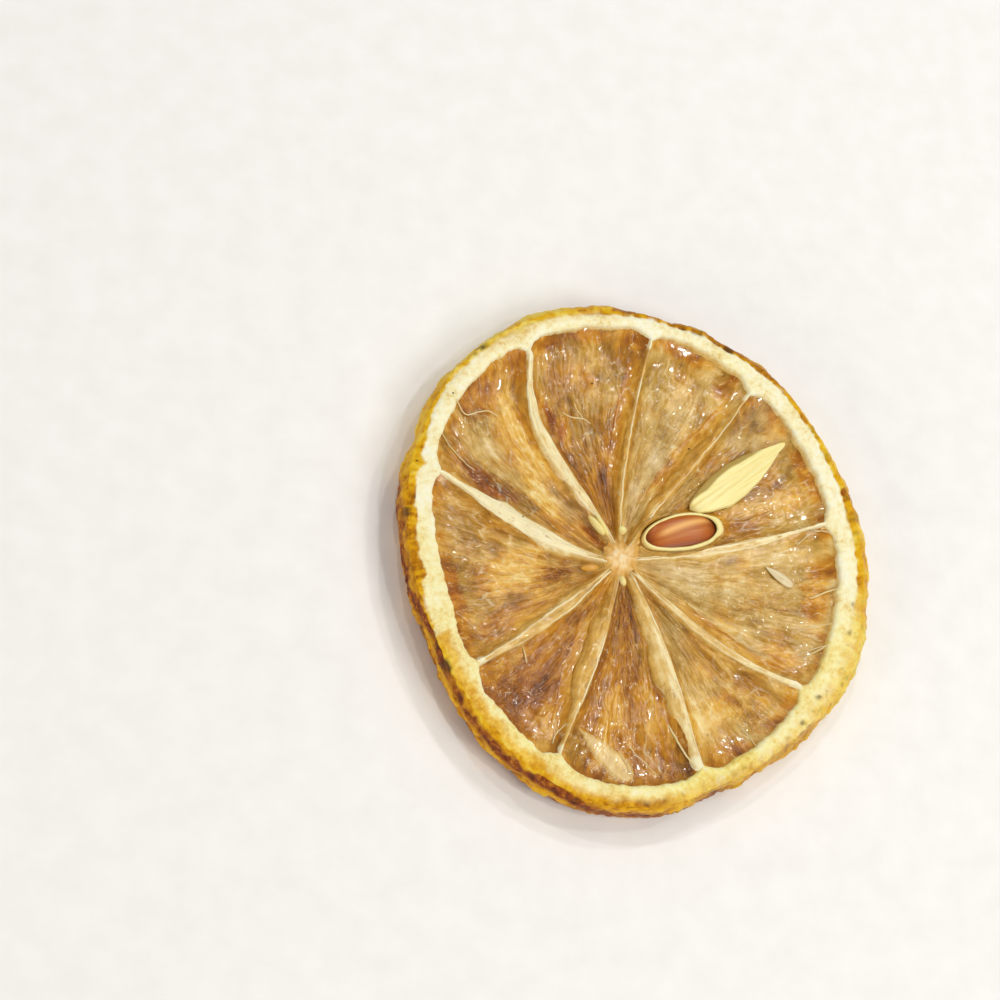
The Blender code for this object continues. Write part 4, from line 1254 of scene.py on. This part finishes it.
def strand(width, *places):
    """A round fibre through given places, thinner at its ends."""
    places = np.array(places)
    knots = np.linspace(0, 1, len(places))
    share = np.linspace(0, 1, 40)
    line = np.stack([np.interp(share, knots, places[:, axis]) for axis in range(3)], -1)
    for _ in range(12):
        line[1:-1] = (line[:-2] + 2 * line[1:-1] + line[2:]) / 4
    wander = 0.07 * rough(line[:, 0] / 0.6, line[:, 1] / 0.6, seed=170)
    way = np.gradient(line[:, :2], axis=0)
    way /= np.linalg.norm(way, axis=1)[:, None]
    beside = np.stack((-way[:, 1], way[:, 0]), -1)
    turn = lap(10)[None, :]
    full = np.sin(np.pi * np.clip(share * 0.9 + 0.08, 0, 1)) ** 0.6
    thick = (0.34 * width * (0.35 + 0.65 * full))[:, None]
    offset = thick * np.cos(turn) + wander[:, None]
    x = line[:, :1] + beside[:, :1] * offset
    y = line[:, 1:2] + beside[:, 1:] * offset
    sunk = 0.06 + 0.16 * np.sin(np.pi * share)[:, None]
    height = line[:, 2:] - sunk + 0.8 * thick * np.sin(turn)
    return stacked(x, y, height), {"cream": 0.62, "grain": stacked(offset, share[:, None] * 5, 0.0)}


def strands(finish):
    """The loose fibres and the skins' torn edges."""
    make_piece("strands", [strand(*each) for each in STRANDS], finish)


SPECKS = ((-1.55, 17.85, 3.0), (-9.4, 3.6, 3.6), (-19.6, 8.2, 4.08), (-15.9, 15.2, 4.1), (8.0, 11.9, 2.95))


def specks(finish):
    """Dark specks that lie on the face."""
    ends = [((x - 0.08, y), (x + 0.08, y + 0.03), z) for x, y, z in SPECKS]
    bodies = [small_seed(start, end, 0.14, 0.16, z, 0.0, 0.5, 0.5) for start, end, z in ends]
    make_piece("specks", bodies, finish)


# ==================================================================================================
# Stage
# ==================================================================================================
def camera():
    """Looks at the slice from the photograph's side, with the same lens. Gives its right, up and back."""
    tilt, side = math.radians(VIEW_TILT), math.radians(VIEW_SIDE)
    seen_side, sight = Vector((math.cos(side), math.sin(side), 0)), Vector((0, 0, 1))
    normal = sight * math.cos(tilt) - seen_side * math.sin(tilt)
    along = sight * math.sin(tilt) + seen_side * math.cos(tilt)
    beside = normal.cross(along)
    axis_x = along * math.cos(side) - beside * math.sin(side)
    axis_y = along * math.sin(side) + beside * math.cos(side)
    half = PHOTO_SIDE / 2
    ray = Vector((CORE_PIXEL[0] - half, half - CORE_PIXEL[1], -LENS / SENSOR * PHOTO_SIDE)).normalized()
    back = -ray
    right = Vector((0, 1, 0)).cross(back).normalized()
    view = Matrix((right, back.cross(right), back)).transposed()
    view = view @ Matrix((axis_x, axis_y, normal)).transposed()
    place = view.transposed() @ ray * -CAMERA_DISTANCE + Vector(CORE) + Vector((0, 0, THICKNESS))
    data = bpy.data.cameras.new("camera")
    data.lens = LENS
    data.sensor_width = SENSOR
    data.clip_start = 0.01
    eye = bpy.data.objects.new("camera", data)
    eye.matrix_world = Matrix.Translation(place * MM) @ view.transposed().to_4x4()
    bpy.context.scene.collection.objects.link(eye)
    bpy.context.scene.camera = eye
    return list(view)


def softbox(name, direction, distance, size, power, colour):
    """A square studio light that faces the slice."""
    data = bpy.data.lights.new(name, "AREA")
    data.size = size
    data.energy = power
    data.color = linear(colour)[:3]
    lamp = bpy.data.objects.new(name, data)
    lamp.location = direction.normalized() * distance
    lamp.rotation_euler = direction.to_track_quat("Z", "Y").to_euler()
    bpy.context.scene.collection.objects.link(lamp)


def studio(right, up, back):
    """A pale table, an even white room, soft lights from the photograph's right and front, a third
    that the level film mirrors, and small ones round that which make its glints."""
    world = bpy.data.worlds.new("studio")
    world.use_nodes = True
    world.node_tree.nodes["Background"].inputs["Color"].default_value = linear("#FFFFFF")
    world.node_tree.nodes["Background"].inputs["Strength"].default_value = ROOM_LIGHT
    bpy.context.scene.world = world
    for name, (to_right, to_top, to_eye), *lamp in SOFT_LAMPS:
        softbox(name, right * to_right + up * to_top + back * to_eye, *lamp)
    mirrored = Vector((-back.x, -back.y, back.z))  # from a level film the eye sees what lies this way
    softbox("sheen", mirrored + Vector(SHEEN_PLACE) / CAMERA_DISTANCE * 1.4, 0.6, 0.2, 0.28, "#FFFDFA")
    for number in range(GLINT_LAMPS):
        turn = 2 * math.pi * (number - 0.15) / GLINT_LAMPS
        aside = (right * math.cos(turn) + up * math.sin(turn)) * (0.34 + 0.06 * number)
        softbox(f"glint_{number + 1}", mirrored + aside, 0.5, 0.022, 0.22, "#FFFFFF")

    finish, tree, place = new_finish("pale_table")
    speckle = put(tree, "TexNoise", {"Vector": place, "Scale": 1 / 3.0, "Detail": 3.0})
    colour = put(tree, "ValToRGB", {"Fac": speckle}, stops=((0.3, "#F5F3EF"), (0.7, "#FAF8F5")))
    close_finish(tree, None, 0, Base_Color=colour, Roughness=0.7)
    mesh = bpy.data.meshes.new("table")
    corners = [(x * TABLE_HALF, y * TABLE_HALF, 0) for x, y in ((-1, -1), (1, -1), (1, 1), (-1, 1))]
    mesh.from_pydata(corners, [], [(0, 1, 2, 3)])
    mesh.materials.append(finish)
    table = bpy.data.objects.new("table", mesh)
    bpy.context.scene.collection.objects.link(table)


def main():
    """Builds the stage and every piece."""
    bpy.context.scene.view_settings.view_transform = "Standard"
    studio(*camera())
    pulp = dried_pulp()
    rind(dried_peel())
    for number in range(len(MEMBRANES)):
        pulp_film(number, pulp)
    membranes(pulp)
    core(core_sponge())
    strands(dried_membrane())
    lemon_coat = ((0.3, "#F0DA84"), (0.5, "#F9EA9C"), (0.7, "#FDF3B6"))
    # C9AC58 is the painted shade on the pale seed's facet and underside.
    pale_pip(seed_coat("pale_seed_coat", lemon_coat, "#C9AC58", "#FFFFFF", 0.42, 0.1))
    chestnut = ((0.3, "#B05204"), (0.5, "#BC5E04"), (0.7, "#C66A08"))
    # The kernel's coat: #561A00 darkens its flanks, as painted shade, and its ends; #F4B866 is its painted
    # highlight.
    brown_kernel(seed_coat("brown_seed_skin", chestnut, "#561A00", "#F4B866", 0.33, 0.0, 1.4))
    young_coat = seed_coat("unripe_seed_coat", lemon_coat, "#D99B2E", "#FFFFFF", 0.35, 0.2)
    unripe_seeds(young_coat)
    husk(young_coat)
    scrap_coat = ((0.3, "#D6BE8C"), (0.5, "#E6D4A6"), (0.7, "#F2E6C4"))
    seed_scrap(seed_coat("old_seed_coat", scrap_coat, "#B9985C", "#FFFFFF", 0.35, 0.2))
    specks(speck_finish())


main()
